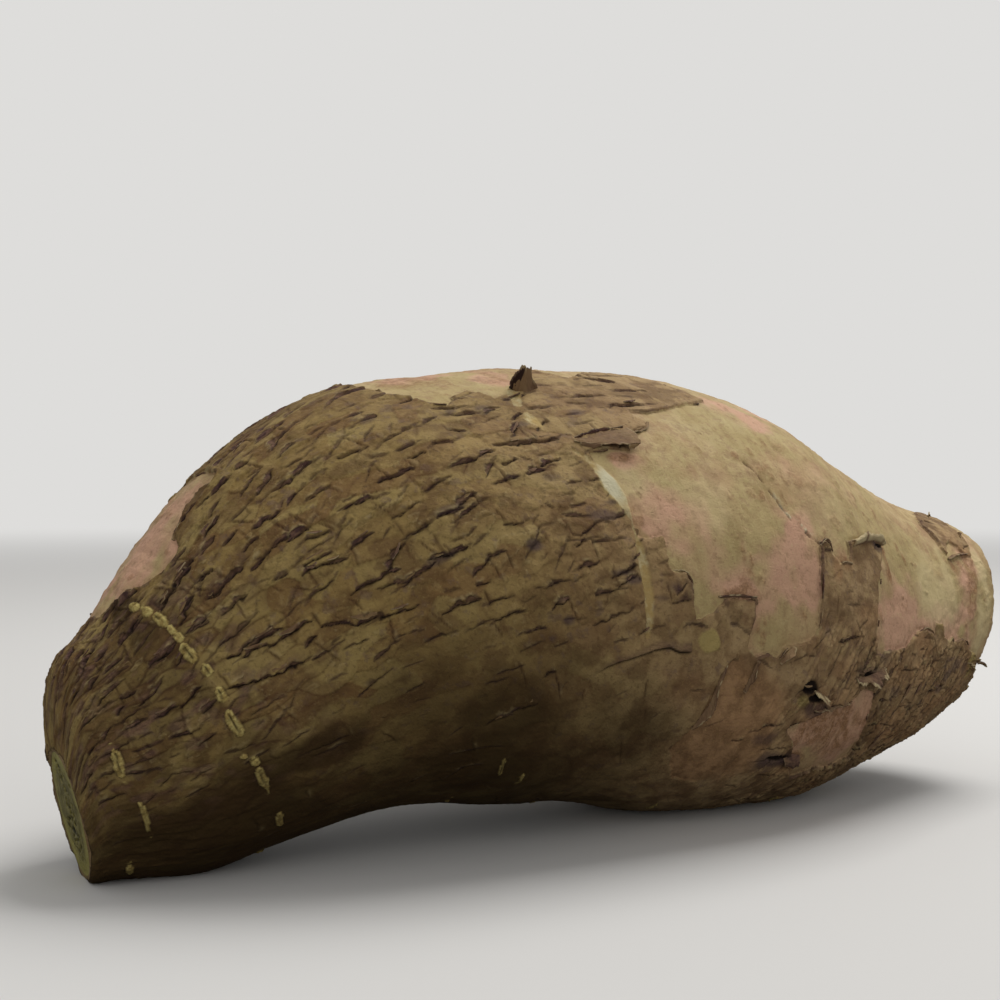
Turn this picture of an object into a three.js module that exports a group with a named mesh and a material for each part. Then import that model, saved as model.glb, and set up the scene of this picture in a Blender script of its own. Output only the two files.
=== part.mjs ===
// A whole cassava root, lying on its side: a thick, slightly arched body with a cut neck at -X,
// where it was taken off the plant, and a short snapped-off tail at +X.
// It grew as one piece, so it is one closed solid. Millimetres, +Z up, longest side along X.
// The origin is under the middle of the root, on the surface that it rests on.

import * as THREE from 'three';
import { mergeVertices } from 'three/addons/utils/BufferGeometryUtils.js';

// Cross-sections from the cut neck to the tail. Each one is an oval round a point (x, z) of the
// middle line. lean tips its upper half towards the neck and swing turns its near side towards the
// neck, both in degrees. top, bottom, near and far are its half-widths up, down, to -Y and to +Y.
// The neck and the belly dip up to 1 mm below z = 0, where they are flat from resting there.
const SECTIONS = [
  { x: -109.0, z: 12.2, lean: 13, swing: 7, top: 12.6, bottom: 12.8, near: 13.0, far: 12.5 },
  { x: -108.6, z: 13.2, lean: 14, swing: 7, top: 14.8, bottom: 14.2, near: 14.4, far: 14.0 },
  { x: -107.0, z: 17.2, lean: 16, swing: 6, top: 18.4, bottom: 18.2, near: 18.0, far: 17.5 },
  { x: -102.5, z: 19.4, lean: 20, swing: 4, top: 22.2, bottom: 21.0, near: 21.5, far: 21.0 },
  { x: -95.0, z: 22.6, lean: 24, swing: 2, top: 25.2, bottom: 25.2, near: 25.0, far: 24.5 },
  { x: -82.5, z: 30.0, lean: 28, swing: 0, top: 31.2, bottom: 29.8, near: 30.5, far: 30.0 },
  { x: -62.5, z: 41.4, lean: 27, swing: 0, top: 39.2, bottom: 37.8, near: 39.0, far: 38.0 },
  { x: -40.5, z: 48.0, lean: 20, swing: 0, top: 45.4, bottom: 44.8, near: 45.0, far: 44.0 },
  { x: -14.5, z: 49.6, lean: 12, swing: 0, top: 46.8, bottom: 46.6, near: 46.5, far: 46.0 },
  { x: 12.0, z: 49.0, lean: 4, swing: 0, top: 47.2, bottom: 49.4, near: 47.5, far: 46.5 },
  { x: 38.0, z: 45.0, lean: -1, swing: 0, top: 45.8, bottom: 46.0, near: 45.5, far: 44.5 },
  { x: 61.5, z: 40.0, lean: -4, swing: 0, top: 38.4, bottom: 39.4, near: 39.0, far: 38.0 },
  { x: 82.0, z: 37.0, lean: -5, swing: 0, top: 33.2, bottom: 31.0, near: 32.0, far: 31.5 },
  { x: 97.0, z: 38.6, lean: -5, swing: 0, top: 27.2, bottom: 27.0, near: 27.0, far: 27.5 },
  { x: 106.0, z: 39.2, lean: -7, swing: 0, top: 24.4, bottom: 24.0, near: 23.8, far: 23.5 },
  { x: 111.0, z: 39.6, lean: -10, swing: 0, top: 22.0, bottom: 21.0, near: 20.4, far: 20.0 },
  { x: 113.0, z: 39.6, lean: -12, swing: 0, top: 17.6, bottom: 17.0, near: 16.0, far: 15.5 },
];
const RING_SPACING = 4.2;
const POINTS_ROUND = 44;
const TAIL_DOME = 1.2; // how far the middle of the snapped tail stands out

// A strip of bark has come loose on the crest and stands up: its place along the sections, its
// height and how far it reaches.
const CURL = { place: 8.25, height: 1.8, reach: 4.5 };

const BARK = { color: 0x6b5937, roughness: 0.9, metalness: 0 };

const KEYS = Object.keys(SECTIONS[0]);

// The cross-section at a place between two of the listed ones, on a Catmull-Rom curve through them.
function sectionAt(place) {
  const last = SECTIONS.length - 1;
  const index = Math.min(Math.floor(place), last - 1);
  const from = SECTIONS[index];
  const to = SECTIONS[index + 1];
  const before = SECTIONS[index - 1];
  const after = SECTIONS[index + 2];
  const u = place - index;
  const section = {};
  for (const key of KEYS) {
    const start = from[key];
    const end = to[key];
    const slopeIn = before ? (end - before[key]) / 2 : end - start;
    const slopeOut = after ? (after[key] - start) / 2 : end - start;
    section[key] =
      start +
      slopeIn * u +
      (3 * (end - start) - 2 * slopeIn - slopeOut) * u ** 2 +
      (2 * (start - end) + slopeIn + slopeOut) * u ** 3;
  }
  return section;
}

// A point of a cross-section. The angle runs from 0 at the near side (-Y) over the top.
function pointOn(section, angle) {
  const up = Math.sin(angle) * (Math.sin(angle) >= 0 ? section.top : section.bottom);
  const nearwards = Math.cos(angle) * (Math.cos(angle) >= 0 ? section.near : section.far);
  const lean = THREE.MathUtils.degToRad(section.lean);
  const swing = THREE.MathUtils.degToRad(section.swing);
  return new THREE.Vector3(
    section.x - Math.sin(lean) * up - Math.sin(swing) * nearwards,
    -Math.cos(swing) * nearwards,
    section.z + Math.cos(lean) * up
  );
}

// Places along the root for the rings of the mesh: every listed section, and more between them
// where they are further apart than RING_SPACING.
function ringPlaces() {
  const places = [];
  for (let i = 0; i < SECTIONS.length - 1; i += 1) {
    const here = SECTIONS[i];
    const next = SECTIONS[i + 1];
    const gap = Math.hypot(next.x - here.x, next.z - here.z, (next.top - here.top) / 2);
    const steps = Math.max(1, Math.round(gap / RING_SPACING));
    for (let k = 0; k < steps; k += 1) places.push(i + k / steps);
  }
  places.push(SECTIONS.length - 1);
  return places;
}

// The loose curl lifts the crest over a small round spot.
function liftCurl(point, crest) {
  const away = point.distanceTo(crest) / CURL.reach;
  point.z += CURL.height * Math.max(0, 1 - away ** 2);
}

function rootGeometry() {
  const places = ringPlaces();
  const crest = pointOn(sectionAt(CURL.place), Math.PI / 2);
  const corners = [];
  for (const place of places) {
    const section = sectionAt(place);
    for (let j = 0; j < POINTS_ROUND; j += 1) {
      const point = pointOn(section, (2 * Math.PI * j) / POINTS_ROUND);
      liftCurl(point, crest);
      point.z = Math.max(point.z, 0);
      corners.push(point);
    }
  }

  // The cut neck is flat. The snapped tail bulges a little.
  const neck = SECTIONS[0];
  const tail = SECTIONS[SECTIONS.length - 1];
  const neckMiddle = corners.push(new THREE.Vector3(neck.x, 0, neck.z)) - 1;
  const tailMiddle = corners.push(new THREE.Vector3(tail.x + TAIL_DOME, 0, tail.z)) - 1;

  const faces = [];
  const lastRing = (places.length - 1) * POINTS_ROUND;
  for (let j = 0; j < POINTS_ROUND; j += 1) {
    const k = (j + 1) % POINTS_ROUND;
    for (let ring = 0; ring < lastRing; ring += POINTS_ROUND) {
      const next = ring + POINTS_ROUND;
      faces.push(ring + j, next + j, next + k, ring + j, next + k, ring + k);
    }
    faces.push(neckMiddle, j, k);
    faces.push(tailMiddle, lastRing + k, lastRing + j);
  }

  const geometry = new THREE.BufferGeometry();
  geometry.setFromPoints(corners);
  geometry.setIndex(faces);
  const closed = mergeVertices(geometry, 1e-4);
  closed.computeVertexNormals();
  return closed;
}

// Puts the origin under the middle of the solid's box, on the surface that it rests on.
function centred(geometry) {
  geometry.computeBoundingBox();
  const { min, max } = geometry.boundingBox;
  geometry.translate(-(min.x + max.x) / 2, -(min.y + max.y) / 2, -min.z);
  return geometry;
}

const root = new THREE.Mesh(centred(rootGeometry()), new THREE.MeshStandardMaterial(BARK));
root.name = 'cassava_root';

const group = new THREE.Group();
group.add(root);

export default group;
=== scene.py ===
import math

import bmesh
import bpy
import numpy as np
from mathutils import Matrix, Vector


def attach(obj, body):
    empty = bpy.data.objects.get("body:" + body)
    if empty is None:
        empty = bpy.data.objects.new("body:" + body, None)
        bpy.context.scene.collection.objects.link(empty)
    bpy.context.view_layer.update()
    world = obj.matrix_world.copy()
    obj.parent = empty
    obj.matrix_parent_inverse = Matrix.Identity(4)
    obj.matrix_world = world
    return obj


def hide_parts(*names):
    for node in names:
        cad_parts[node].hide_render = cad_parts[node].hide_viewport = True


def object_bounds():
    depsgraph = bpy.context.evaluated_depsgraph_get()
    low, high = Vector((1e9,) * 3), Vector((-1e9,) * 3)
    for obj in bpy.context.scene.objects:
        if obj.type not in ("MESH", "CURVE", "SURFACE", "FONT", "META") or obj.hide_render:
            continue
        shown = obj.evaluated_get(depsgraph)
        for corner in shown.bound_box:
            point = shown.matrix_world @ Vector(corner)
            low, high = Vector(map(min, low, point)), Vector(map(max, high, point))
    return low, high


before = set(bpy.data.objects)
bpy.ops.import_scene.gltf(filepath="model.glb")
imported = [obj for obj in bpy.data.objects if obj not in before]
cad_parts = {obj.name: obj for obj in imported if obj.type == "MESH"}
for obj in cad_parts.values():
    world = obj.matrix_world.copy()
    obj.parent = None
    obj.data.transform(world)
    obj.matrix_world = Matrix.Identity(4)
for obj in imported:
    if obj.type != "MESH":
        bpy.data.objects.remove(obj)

# ---------------------------------------------------------------- the room
# A plain pale floor under a plain pale sky, one broad soft lamp up and to the
# right of the root and a weaker one in front. The lens looks a little along
# the root from its cut neck, close above the floor.
CAD_BOX = [list(corner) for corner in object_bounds()]
MM = 0.001


def paint(red, green, blue):
    """A colour given as 0 to 255, in the numbers that the shaders take."""
    shares = [value / 255 for value in (red, green, blue)]
    linear = [s / 12.92 if s <= 0.04045 else ((s + 0.055) / 1.055) ** 2.4 for s in shares]
    return (*linear, 1.0)


def add(tree, kind, inputs=None, **settings):
    """A new shader node with its settings made and its inputs set or linked."""
    made = tree.nodes.new(kind)
    for name, value in settings.items():
        setattr(made, name, value)
    for key, value in (inputs or {}).items():
        if isinstance(value, bpy.types.NodeSocket):
            tree.links.new(value, made.inputs[key])
        else:
            made.inputs[key].default_value = value
    return made


def new_material(name):
    """An empty node material, and its tree."""
    made = bpy.data.materials.new(name)
    made.use_nodes = True
    made.node_tree.nodes.clear()
    return made, made.node_tree


def into_scene(name, data):
    """An object for a mesh, a lamp or a camera, linked into the scene."""
    made = bpy.data.objects.new(name, data)
    bpy.context.scene.collection.objects.link(made)
    return made


def new_piece(name, corners, faces, material):
    """A mesh object from points in metres."""
    mesh = bpy.data.meshes.new(name)
    mesh.from_pydata([tuple(c) for c in corners], [], [tuple(f) for f in faces])
    mesh.materials.append(material)
    return into_scene(name, mesh)


def maths(tree, how, first, second=0.0):
    """A sum, product or other arithmetic on two values."""
    return add(tree, "ShaderNodeMath", {0: first, 1: second}, operation=how).outputs[0]


def between(tree, value, low, high, to_low=0.0, to_high=1.0):
    """A smooth step from one value to another."""
    made = add(tree, "ShaderNodeMapRange",
               {"Value": value, "From Min": low, "From Max": high, "To Min": to_low,
                "To Max": to_high}, interpolation_type="SMOOTHSTEP")
    return made.outputs[0]


def blend(tree, share, first, second, how="MIX"):
    """Two colours mixed."""
    return add(tree, "ShaderNodeMix", {0: share, 6: first, 7: second},
               data_type="RGBA", blend_type=how).outputs[2]


FLOOR_REACH = 6.0
FLOOR_FADES = (0.5, 2.2)
SKY_LEVEL = 0.44
SKY_SEEN = paint(222, 221, 219)
floor_finish, tree = new_material("floor_paint")
tones = add(tree, "ShaderNodeTexNoise", {"Scale": 3.0, "Detail": 4.0}).outputs[0]
tone = blend(tree, tones, paint(214, 212, 208), paint(210, 208, 205))
rays = add(tree, "ShaderNodeLightPath")
tone = blend(tree, rays.outputs["Is Camera Ray"], paint(112, 110, 107), tone)
matt = add(tree, "ShaderNodeBsdfPrincipled", {"Base Color": tone, "Roughness": 0.9})
here = add(tree, "ShaderNodeNewGeometry").outputs["Position"]
away = add(tree, "ShaderNodeVectorMath", {0: here}, operation="LENGTH").outputs["Value"]
faded = maths(tree, "MULTIPLY", between(tree, away, *FLOOR_FADES), rays.outputs["Is Camera Ray"])
haze = add(tree, "ShaderNodeEmission", {"Color": SKY_SEEN})
either = add(tree, "ShaderNodeMixShader", {0: faded, 1: matt.outputs[0], 2: haze.outputs[0]})
add(tree, "ShaderNodeOutputMaterial", {"Surface": either.outputs[0]})
floor_corners = [(x * FLOOR_REACH, y * FLOOR_REACH, 0) for x, y in ((-1, -1), (1, -1), (1, 1), (-1, 1))]
floor = new_piece("floor", floor_corners, [(0, 1, 2, 3)], floor_finish)

sky = bpy.data.worlds.new("sky")
sky.use_nodes = True
sky.node_tree.nodes.clear()
tree = sky.node_tree
rays = add(tree, "ShaderNodeLightPath")
lit = add(tree, "ShaderNodeBackground", {"Color": (1, 1, 1, 1), "Strength": SKY_LEVEL})
seen = add(tree, "ShaderNodeBackground", {"Color": SKY_SEEN, "Strength": 1.0})
either = add(tree, "ShaderNodeMixShader",
             {0: rays.outputs["Is Camera Ray"], 1: lit.outputs[0], 2: seen.outputs[0]})
add(tree, "ShaderNodeOutputWorld", {"Surface": either.outputs[0]})
bpy.context.scene.world = sky


LAMP_AIM = Vector((0.0, 0.0, 0.04))


def lamp(name, place, size, power):
    """A square soft lamp that faces the middle of the root."""
    light = bpy.data.lights.new(name, "AREA")
    light.size, light.energy = size, power
    made = into_scene(name, light)
    made.location = place
    made.rotation_euler = (LAMP_AIM - Vector(place)).to_track_quat("-Z", "Y").to_euler()


lamp("key_lamp", place=(0.50, 0.10, 1.08), size=0.7, power=9.8)
lamp("front_lamp", place=(-0.7, -1.2, 0.6), size=1.2, power=4.4)

LENS_PLACE = (-0.2047, -0.2969, 0.0733)
LENS_TURN = (math.radians(89.2), 0.0, math.radians(-32.0))
LENS_MM, FILM_MM, LENS_NEAR = 60, 36, 0.01
eye = bpy.data.cameras.new("eye")
eye.lens, eye.sensor_width, eye.clip_start = LENS_MM, FILM_MM, LENS_NEAR
camera = into_scene("camera", eye)
camera.location, camera.rotation_euler = LENS_PLACE, LENS_TURN
bpy.context.scene.camera = camera
bpy.context.scene.view_settings.view_transform = "Standard"

# ------------------------------------------------------- the root's own form
# One swollen storage root, grown round a curved line: a short neck that was
# cut from the stem, a deep belly, and a waist that flares to the broken tail.

# Every mark below is placed by its ring, in mm along, and by degrees round:
# 0 is the near side, 90 the crest and -90 the belly.
SECTIONS = np.array([
    # place, height, lean, swing, up, down, near, far
    (-109.0, 12.2, 13, 7, 12.6, 12.8, 13.0, 12.5),
    (-108.6, 13.2, 14, 7, 14.8, 14.2, 14.4, 14.0),
    (-107.0, 17.2, 16, 6, 18.4, 18.2, 18.0, 17.5),
    (-102.5, 19.4, 20, 4, 22.2, 21.0, 21.5, 21.0),
    (-95.0, 22.6, 24, 2, 25.2, 25.2, 25.0, 24.5),
    (-82.5, 30.0, 28, 0, 31.2, 29.8, 30.5, 30.0),
    (-62.5, 41.4, 27, 0, 39.2, 37.8, 39.0, 38.0),
    (-40.5, 48.0, 20, 0, 45.4, 44.8, 45.0, 44.0),
    (-14.5, 49.6, 12, 0, 46.8, 46.6, 46.5, 46.0),
    (12.0, 49.0, 4, 0, 47.2, 49.4, 47.5, 46.5),
    (38.0, 45.0, -1, 0, 45.8, 46.0, 45.5, 44.5),
    (61.5, 40.0, -4, 0, 38.4, 39.4, 39.0, 38.0),
    (82.0, 37.0, -5, 0, 33.2, 31.0, 32.0, 31.5),
    (97.0, 38.6, -5, 0, 27.2, 27.0, 27.0, 27.5),
    (106.0, 39.2, -7, 0, 24.4, 24.0, 23.8, 23.5),
    (111.0, 39.6, -10, 0, 22.0, 21.0, 20.4, 20.0),
    (113.0, 39.6, -12, 0, 17.6, 17.0, 16.0, 15.5),
])
FORM_SHIFT = np.array([-2.0, 0.47, 0.0])


def section_at(steps):
    """The section table, smoothly in between its rows, at each step."""
    table = np.vstack([2 * SECTIONS[0] - SECTIONS[1], SECTIONS, 2 * SECTIONS[-1] - SECTIONS[-2]])
    index = np.clip(np.floor(steps).astype(int), 0, len(SECTIONS) - 2)
    u = (steps - index)[:, None]
    a, b, c, d = (table[index + k] for k in range(4))
    return 0.5 * (2 * b + (c - a) * u + (2 * a - 5 * b + 4 * c - d) * u ** 2
                  + (3 * b - a - 3 * c + d) * u ** 3)


def on_form(section, degrees):
    """Points in mm on sections, one row each, at angles round them."""
    turn = np.radians(degrees)
    place, height, lean, swing, up, down, near, far = section.T
    lean, swing = np.radians(lean), np.radians(swing)
    rise = np.sin(turn) * np.where(np.sin(turn) >= 0, up, down)
    out = np.cos(turn) * np.where(np.cos(turn) >= 0, near, far)
    points = np.stack([place - np.sin(lean) * rise - np.sin(swing) * out,
                       -np.cos(swing) * out, height + np.cos(lean) * rise], -1)
    return points + FORM_SHIFT


# The skin's grid: mm between its rings, and points in each ring. A fine trial
# walk down the form gives the true length along it, to space the rings by.
STEP_ALONG, STEPS_ROUND, TRIAL_STEPS = 0.30, 960, 6000
trial = np.linspace(0, len(SECTIONS) - 1, TRIAL_STEPS)
trial_sections = section_at(trial)
trial_run = np.concatenate([[0], np.cumsum(np.mean([
    np.linalg.norm(np.diff(on_form(trial_sections, np.full(len(trial), t)), axis=0), axis=1)
    for t in (0, 60, 120, 180, 240, 300)], axis=0))])
rings = int(trial_run[-1] / STEP_ALONG)
ring_steps = np.interp(np.linspace(0, trial_run[-1], rings), trial_run, trial)
ring_sections = section_at(ring_steps)
ALONG = ring_sections[:, 0]
ROUND = -180 + 360 * np.arange(STEPS_ROUND) / STEPS_ROUND
MM_A_DEGREE = np.radians(1) * ring_sections[:, 4:8].mean(1)
along_grid = np.repeat(ALONG[:, None], STEPS_ROUND, 1)
round_grid = np.repeat(ROUND[None, :], rings, 0)
form = on_form(np.repeat(ring_sections, STEPS_ROUND, 0), round_grid.ravel())
form = form.reshape(rings, STEPS_ROUND, 3)
run = np.gradient(form, axis=0)
hoop = (np.roll(form, -1, 1) - np.roll(form, 1, 1)) / 2
outward = np.cross(hoop, run)
outward /= np.linalg.norm(outward, axis=2, keepdims=True)
if (outward * (form - form.mean(1, keepdims=True))).sum() < 0:
    outward = -outward
run /= np.linalg.norm(run, axis=2, keepdims=True)
hoop /= np.linalg.norm(hoop, axis=2, keepdims=True)

# ------------------------------------------------------------- bark and rind
# A corky brown bark, half a millimetre thick, that splits into plates as the
# root swells. Handling has torn it away in patches down to the pale rind, and
# the plates' lower margins curl out over the cracks below them.
draws = np.random.default_rng(2026)


MEAN_MM_A_DEGREE = 0.66  # near the middle of the root


def grain(seed, long_mm, round_mm):
    """Smooth noise on the skin with a given run along and round, from about -2 to 2."""
    white = np.random.default_rng(seed).standard_normal((rings, STEPS_ROUND))
    ways = np.fft.fftfreq(rings)[:, None] * long_mm / STEP_ALONG
    hoops = np.fft.rfftfreq(STEPS_ROUND)[None, :] * round_mm / (MEAN_MM_A_DEGREE * 360 / STEPS_ROUND)
    soft = np.fft.irfft2(np.fft.rfft2(white) * np.exp(-2.2 * (ways ** 2 + hoops ** 2)),
                         s=(rings, STEPS_ROUND))
    return soft / soft.std()


def eased(value, low, high):
    """0 below low, 1 above high, and a smooth rise between them."""
    share = np.clip((value - low) / (high - low), 0, 1)
    return share * share * (3 - 2 * share)


def ridge(value, middle, width):
    """1 at the middle value, and a smooth fall to 0 on either side of it."""
    return np.exp(-((value - middle) / width) ** 2)


def spot(place, degrees, half_long, half_round):
    """The part of the skin's grid round one place, with its mm along and round from there."""
    first, last = np.searchsorted(ALONG, [place - half_long, place + half_long])
    scale = np.interp(place, ALONG, MM_A_DEGREE)
    count = int(half_round / scale * STEPS_ROUND / 360) + 2
    middle = int(round((degrees + 180) * STEPS_ROUND / 360))
    columns = np.arange(middle - count, middle + count + 1)[:STEPS_ROUND]
    window = np.ix_(np.arange(first, last), columns % STEPS_ROUND)
    turned = -180 + columns * 360 / STEPS_ROUND
    long_mm = np.repeat(ALONG[first:last, None] - place, len(columns), 1)
    round_mm = (turned[None, :] - degrees) * MM_A_DEGREE[first:last, None]
    return window, long_mm, round_mm, turned


def value_at(field, place, degrees):
    """A field's value at one place on the skin."""
    column = int((degrees + 180) * STEPS_ROUND / 360) % STEPS_ROUND
    return field[np.searchsorted(ALONG, place), column]


def raise_to(field, values, window=...):
    """A field brought up to the given values, in one part of the skin or all over."""
    field[window] = np.maximum(field[window], values)


def wipe(share, window, *marks):
    """Marks taken away, by a share, in one part of the skin."""
    for field in marks:
        field[window] *= 1 - share


# The skin's fields: how far it stands out and slides round, in mm, then how
# strongly each kind of mark shows.
height, slide, groove, band, cork, scar, film, crumble, reddish, latex = (
    np.zeros((rings, STEPS_ROUND)) for _ in range(10))
# How far lines stray from their course in mm, the fibres that run along the
# root, and an unevenness that thins and thickens marks.
wander = 0.20 * grain(1, 5.0, 5.0) + 0.13 * grain(2, 1.6, 1.4) + 0.05 * grain(5, 0.7, 0.7)
fibres = grain(6, 5.0, 0.5)
uneven = grain(7, 2.0, 1.6)
SWELL_MM, DIMPLE_MM = 0.22, 0.10
height += SWELL_MM * grain(3, 26, 22) + DIMPLE_MM * grain(4, 9, 7)

# Where the bark is torn away: closed outlines of (mm along, degrees round).
CROWN = [
    (-39.5, 112), (-38.5, 100), (-39, 88), (-38.5, 78), (-37.5, 71), (-35, 66), (-33.5, 62),
    (-31.5, 59.5), (-29.5, 61.5), (-26, 60.5), (-22.5, 60), (-18.5, 62), (-16.5, 66),
    (-12.5, 74), (-8, 77), (-5.5, 71.5), (-4, 70), (0, 73), (3.5, 77), (10, 77), (16, 73),
    (16, 69), (19, 66), (21, 61.5), (18, 59), (15, 58), (10, 55), (4.5, 52.5), (0.5, 52.5),
    (0.5, 50.5), (2, 48.3), (1, 46.3), (-3.3, 44.3), (-3.5, 41), (-6, 38.2), (-10, 39),
    (-14, 38.5), (-13.4, 30), (-12.3, 24), (-12, 15.5), (-6.7, 15.2), (-6.9, 7), (-3.6, 6.6),
    (-2.7, 4), (-3, -1), (-2.4, -4.5), (1.5, -3), (5, 0.3), (13, 0.4), (12.4, -6), (11.6, -11),
    (14, -13.5), (17, -12), (20, -13.4), (21.5, -10.5), (24.6, -9.2), (29, -8.2), (31, -3),
    (31.4, 0), (32, 10), (33.2, 18), (35.6, 18.4), (36.2, 15), (39, 13.6), (42, 14.4),
    (42.8, 20.8), (47, 23), (52, 25.4), (56.8, 27.2), (54.4, 20), (52.4, 12), (51.4, 5),
    (50.6, -4), (51.5, -8.4), (54, -8.6), (57, -6), (60, -6.2), (63, -5), (66, -1.6),
    (68, 1), (72, 2.4), (76, 1.2), (76.4, 5), (80, 5.4), (81, 0), (84, -1.6), (86, 0),
    (87, -3.2), (91, -3), (94, -7), (95.4, -11), (98, -15), (101, -17), (104, -30),
    (108, -46), (110, -70), (116, -70), (116, 205), (104, 200), (99, 186), (95, 186),
    (93, 172), (86, 170), (84, 155), (76, 152), (73, 140), (66, 143), (60, 132), (52, 135),
    (49, 128), (41, 129), (38, 118), (30, 121), (27, 112), (19, 113), (12, 106), (4, 110),
    (-3, 108), (-6, 116), (-15, 119), (-19, 112), (-28, 117), (-33, 108),
]
NECK_PATCH = [
    (-93.6, 118), (-93.5, 100), (-92.5, 88), (-91, 84), (-88, 80), (-86, 76), (-84.5, 71.5),
    (-82, 69), (-79, 68.2), (-77.8, 69.5), (-77, 73), (-76, 77), (-74, 79), (-67, 79.5),
    (-65.4, 80.5), (-65, 92), (-66.5, 101), (-64, 110), (-68, 114), (-71, 124), (-79, 127),
    (-86, 122),
]
LOW_PATCH = [
    (27, -32), (29, -30.5), (33, -29), (37.6, -26.4), (45, -24.2), (50, -19.4), (54.6, -20),
    (55, -27), (56.4, -36), (57, -45), (52, -49), (46, -47.5), (39, -51), (35, -46),
    (37, -44.2), (33.4, -40.5), (31, -36),
]
FAR_PATCHES = [
    [(-52, 196), (-44, 190), (-38, 192), (-30, 188), (-27, 196), (-20, 198), (-21, 210),
     (-29, 214), (-33, 208), (-42, 211), (-50, 206)],
    [(20, 214), (31, 209), (44, 212), (46, 222), (56, 226), (57, 240), (46, 243), (40, 236),
     (28, 238), (22, 228)],
    [(-16, 161), (-9, 154), (-2, 156), (2, 150), (11, 153), (14, 161), (6, 163), (3, 171),
     (-5, 167), (-11, 170)],
    [(8, -118), (20, -124), (31, -117), (30, -106), (21, -101), (12, -105)],
    [(62, -78), (74, -83), (80, -74), (76, -64), (66, -66)],
]
ISLANDS = [
    [(88.4, 60), (92, 68), (97, 76), (101, 79), (103, 66), (103.4, 55), (102.6, 44),
     (101.5, 36.4), (99, 37.4), (97.4, 43), (95, 45.4), (92.6, 43.6), (90.6, 37), (88.8, 39),
     (88.4, 46), (86.6, 53)],
    [(-29.4, 58), (-29, 63), (-26, 65), (-23.4, 63), (-22.2, 60), (-25, 57)],
    [(28, 90.5), (33, 86.6), (39, 85.6), (45, 87.6), (43, 90.6), (37, 90), (32, 93)],
]


def outline_distance(outline):
    """Where a closed outline lies in the grid, and the mm inside it, less than 0 outside."""
    loop = np.array(outline, float)
    middle, reach = (loop.max(0) + loop.min(0)) / 2, (loop.max(0) - loop.min(0)) / 2
    window, _, _, turned = spot(middle[0], middle[1], reach[0] + 6, reach[1] + 12)
    keep = np.abs(turned - middle[1]) <= reach[1] + 12
    rows, columns, turned = window[0].ravel(), window[1].ravel()[keep], turned[keep]
    scale = MM_A_DEGREE[rows][:, None]
    x, y = ALONG[rows][:, None] + 0 * turned[None, :], turned[None, :] * scale
    nearest = np.full(x.shape, 1e9)
    inside = np.zeros(x.shape, bool)
    for (ax, ad), (bx, bd) in zip(loop, np.roll(loop, -1, 0)):
        ay, by = ad * scale, bd * scale
        dx, dy = bx - ax, by - ay
        share = np.clip(((x - ax) * dx + (y - ay) * dy) / (dx * dx + dy * dy + 1e-9), 0, 1)
        nearest = np.minimum(nearest, (x - ax - share * dx) ** 2 + (y - ay - share * dy) ** 2)
        crossing = (ay > y) != (by > y)
        with np.errstate(divide="ignore", invalid="ignore"):
            inside ^= crossing & (x < ax + dx * (y - ay) / np.where(dy == 0, 1e-9, dy))
    return np.ix_(rows, columns), np.where(inside, 1, -1) * np.sqrt(nearest)


# How far inside the bare rind each point is, in mm, less than 0 on bark.
FAR_AWAY = 8.0
bare = np.full(height.shape, -FAR_AWAY)
for outline in [CROWN, NECK_PATCH, LOW_PATCH, *FAR_PATCHES]:
    window, depth = outline_distance(outline)
    raise_to(bare, depth, window)
for outline in ISLANDS:
    window, depth = outline_distance(outline)
    bare[window] = np.minimum(bare[window], -depth)
bare = np.clip(bare, -FAR_AWAY, FAR_AWAY)
# The torn margin strays from its outline, most on the far side.
ragged = 0.13 * grain(11, 3.2, 3.0) + 0.09 * grain(12, 0.9, 0.8)
far_side = eased(-np.cos(np.radians(round_grid)), 0.15, 0.5)
ragged += far_side * (0.85 * grain(16, 4.5, 4.5) + 0.45 * grain(17, 1.6, 1.6))
bare = bare + ragged * (1 - eased(np.abs(bare), 2.5, 6))
on_bark = eased(-bare, -0.12, 0.20)
# The torn margin: the bark stands half a millimetre above the rind, and its
# edge lifts a little more, here and there, with painted shade in the slit below it.
RIND_LEVEL, BARK_LEVEL = -0.50, -0.05
lifted = eased(grain(21, 6.0, 6.0), -0.2, 1.3)
height += RIND_LEVEL + (BARK_LEVEL - RIND_LEVEL) * on_bark
height += (0.03 + 0.24 * lifted) * ridge(bare, -0.35, 0.45)
height -= 0.12 * ridge(bare, 0.35, 0.28)
groove += (0.25 + 0.50 * lifted) * ridge(bare, 0.15, 0.15)
band += (0.08 + 0.55 * lifted) * eased(bare, -0.7, -0.1) * (bare < 0.15)
# Pale chips along the torn margin: partly real broken edges, partly a painted highlight.
chips = 0.75 * eased(grain(13, 2.4, 2.4), 0.9, 1.5) * ridge(bare, -0.14, 0.24)

# Where only the bark's thin inner film is left, a step lower than the bark.
THIN_PATCHES = [
    [(6, -14.4), (4.4, -18), (3, -22), (1.6, -27), (-0.6, -33), (-5, -40), (0, -50), (14, -52),
     (23, -47), (26, -40), (25, -32), (26, -26), (24, -21), (19, -17), (17, -14), (13, -15),
     (10, -14)],
    [(59, -25), (66, -29), (74, -36), (71, -44), (62, -46), (58, -38)],
    [(-30, 200), (-12, 190), (4, 196), (10, 214), (-4, 226), (-22, 220)],
]
for outline in THIN_PATCHES:
    window, depth = outline_distance(outline)
    depth = depth + 1.6 * ragged[window]
    tailward = eased(along_grid[window], 6, 11)
    firm = (1 - tailward) * on_bark[window]
    soft = (1 - tailward) * eased(depth, -0.15, 0.20)
    soft += tailward * eased(depth + 1.5 * ragged[window], -1.0, 4.0)
    height[window] -= 0.34 * firm * eased(depth, -0.15, 0.20)
    height[window] += 0.30 * firm * lifted[window] * ridge(depth, -0.4, 0.4)
    raise_to(film, 0.9 * soft * on_bark[window], window)
    # Painted shade in the slit under the film's lifted edge.
    raise_to(groove, 0.85 * firm * lifted[window] * ridge(depth, 0.12, 0.17), window)


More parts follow.
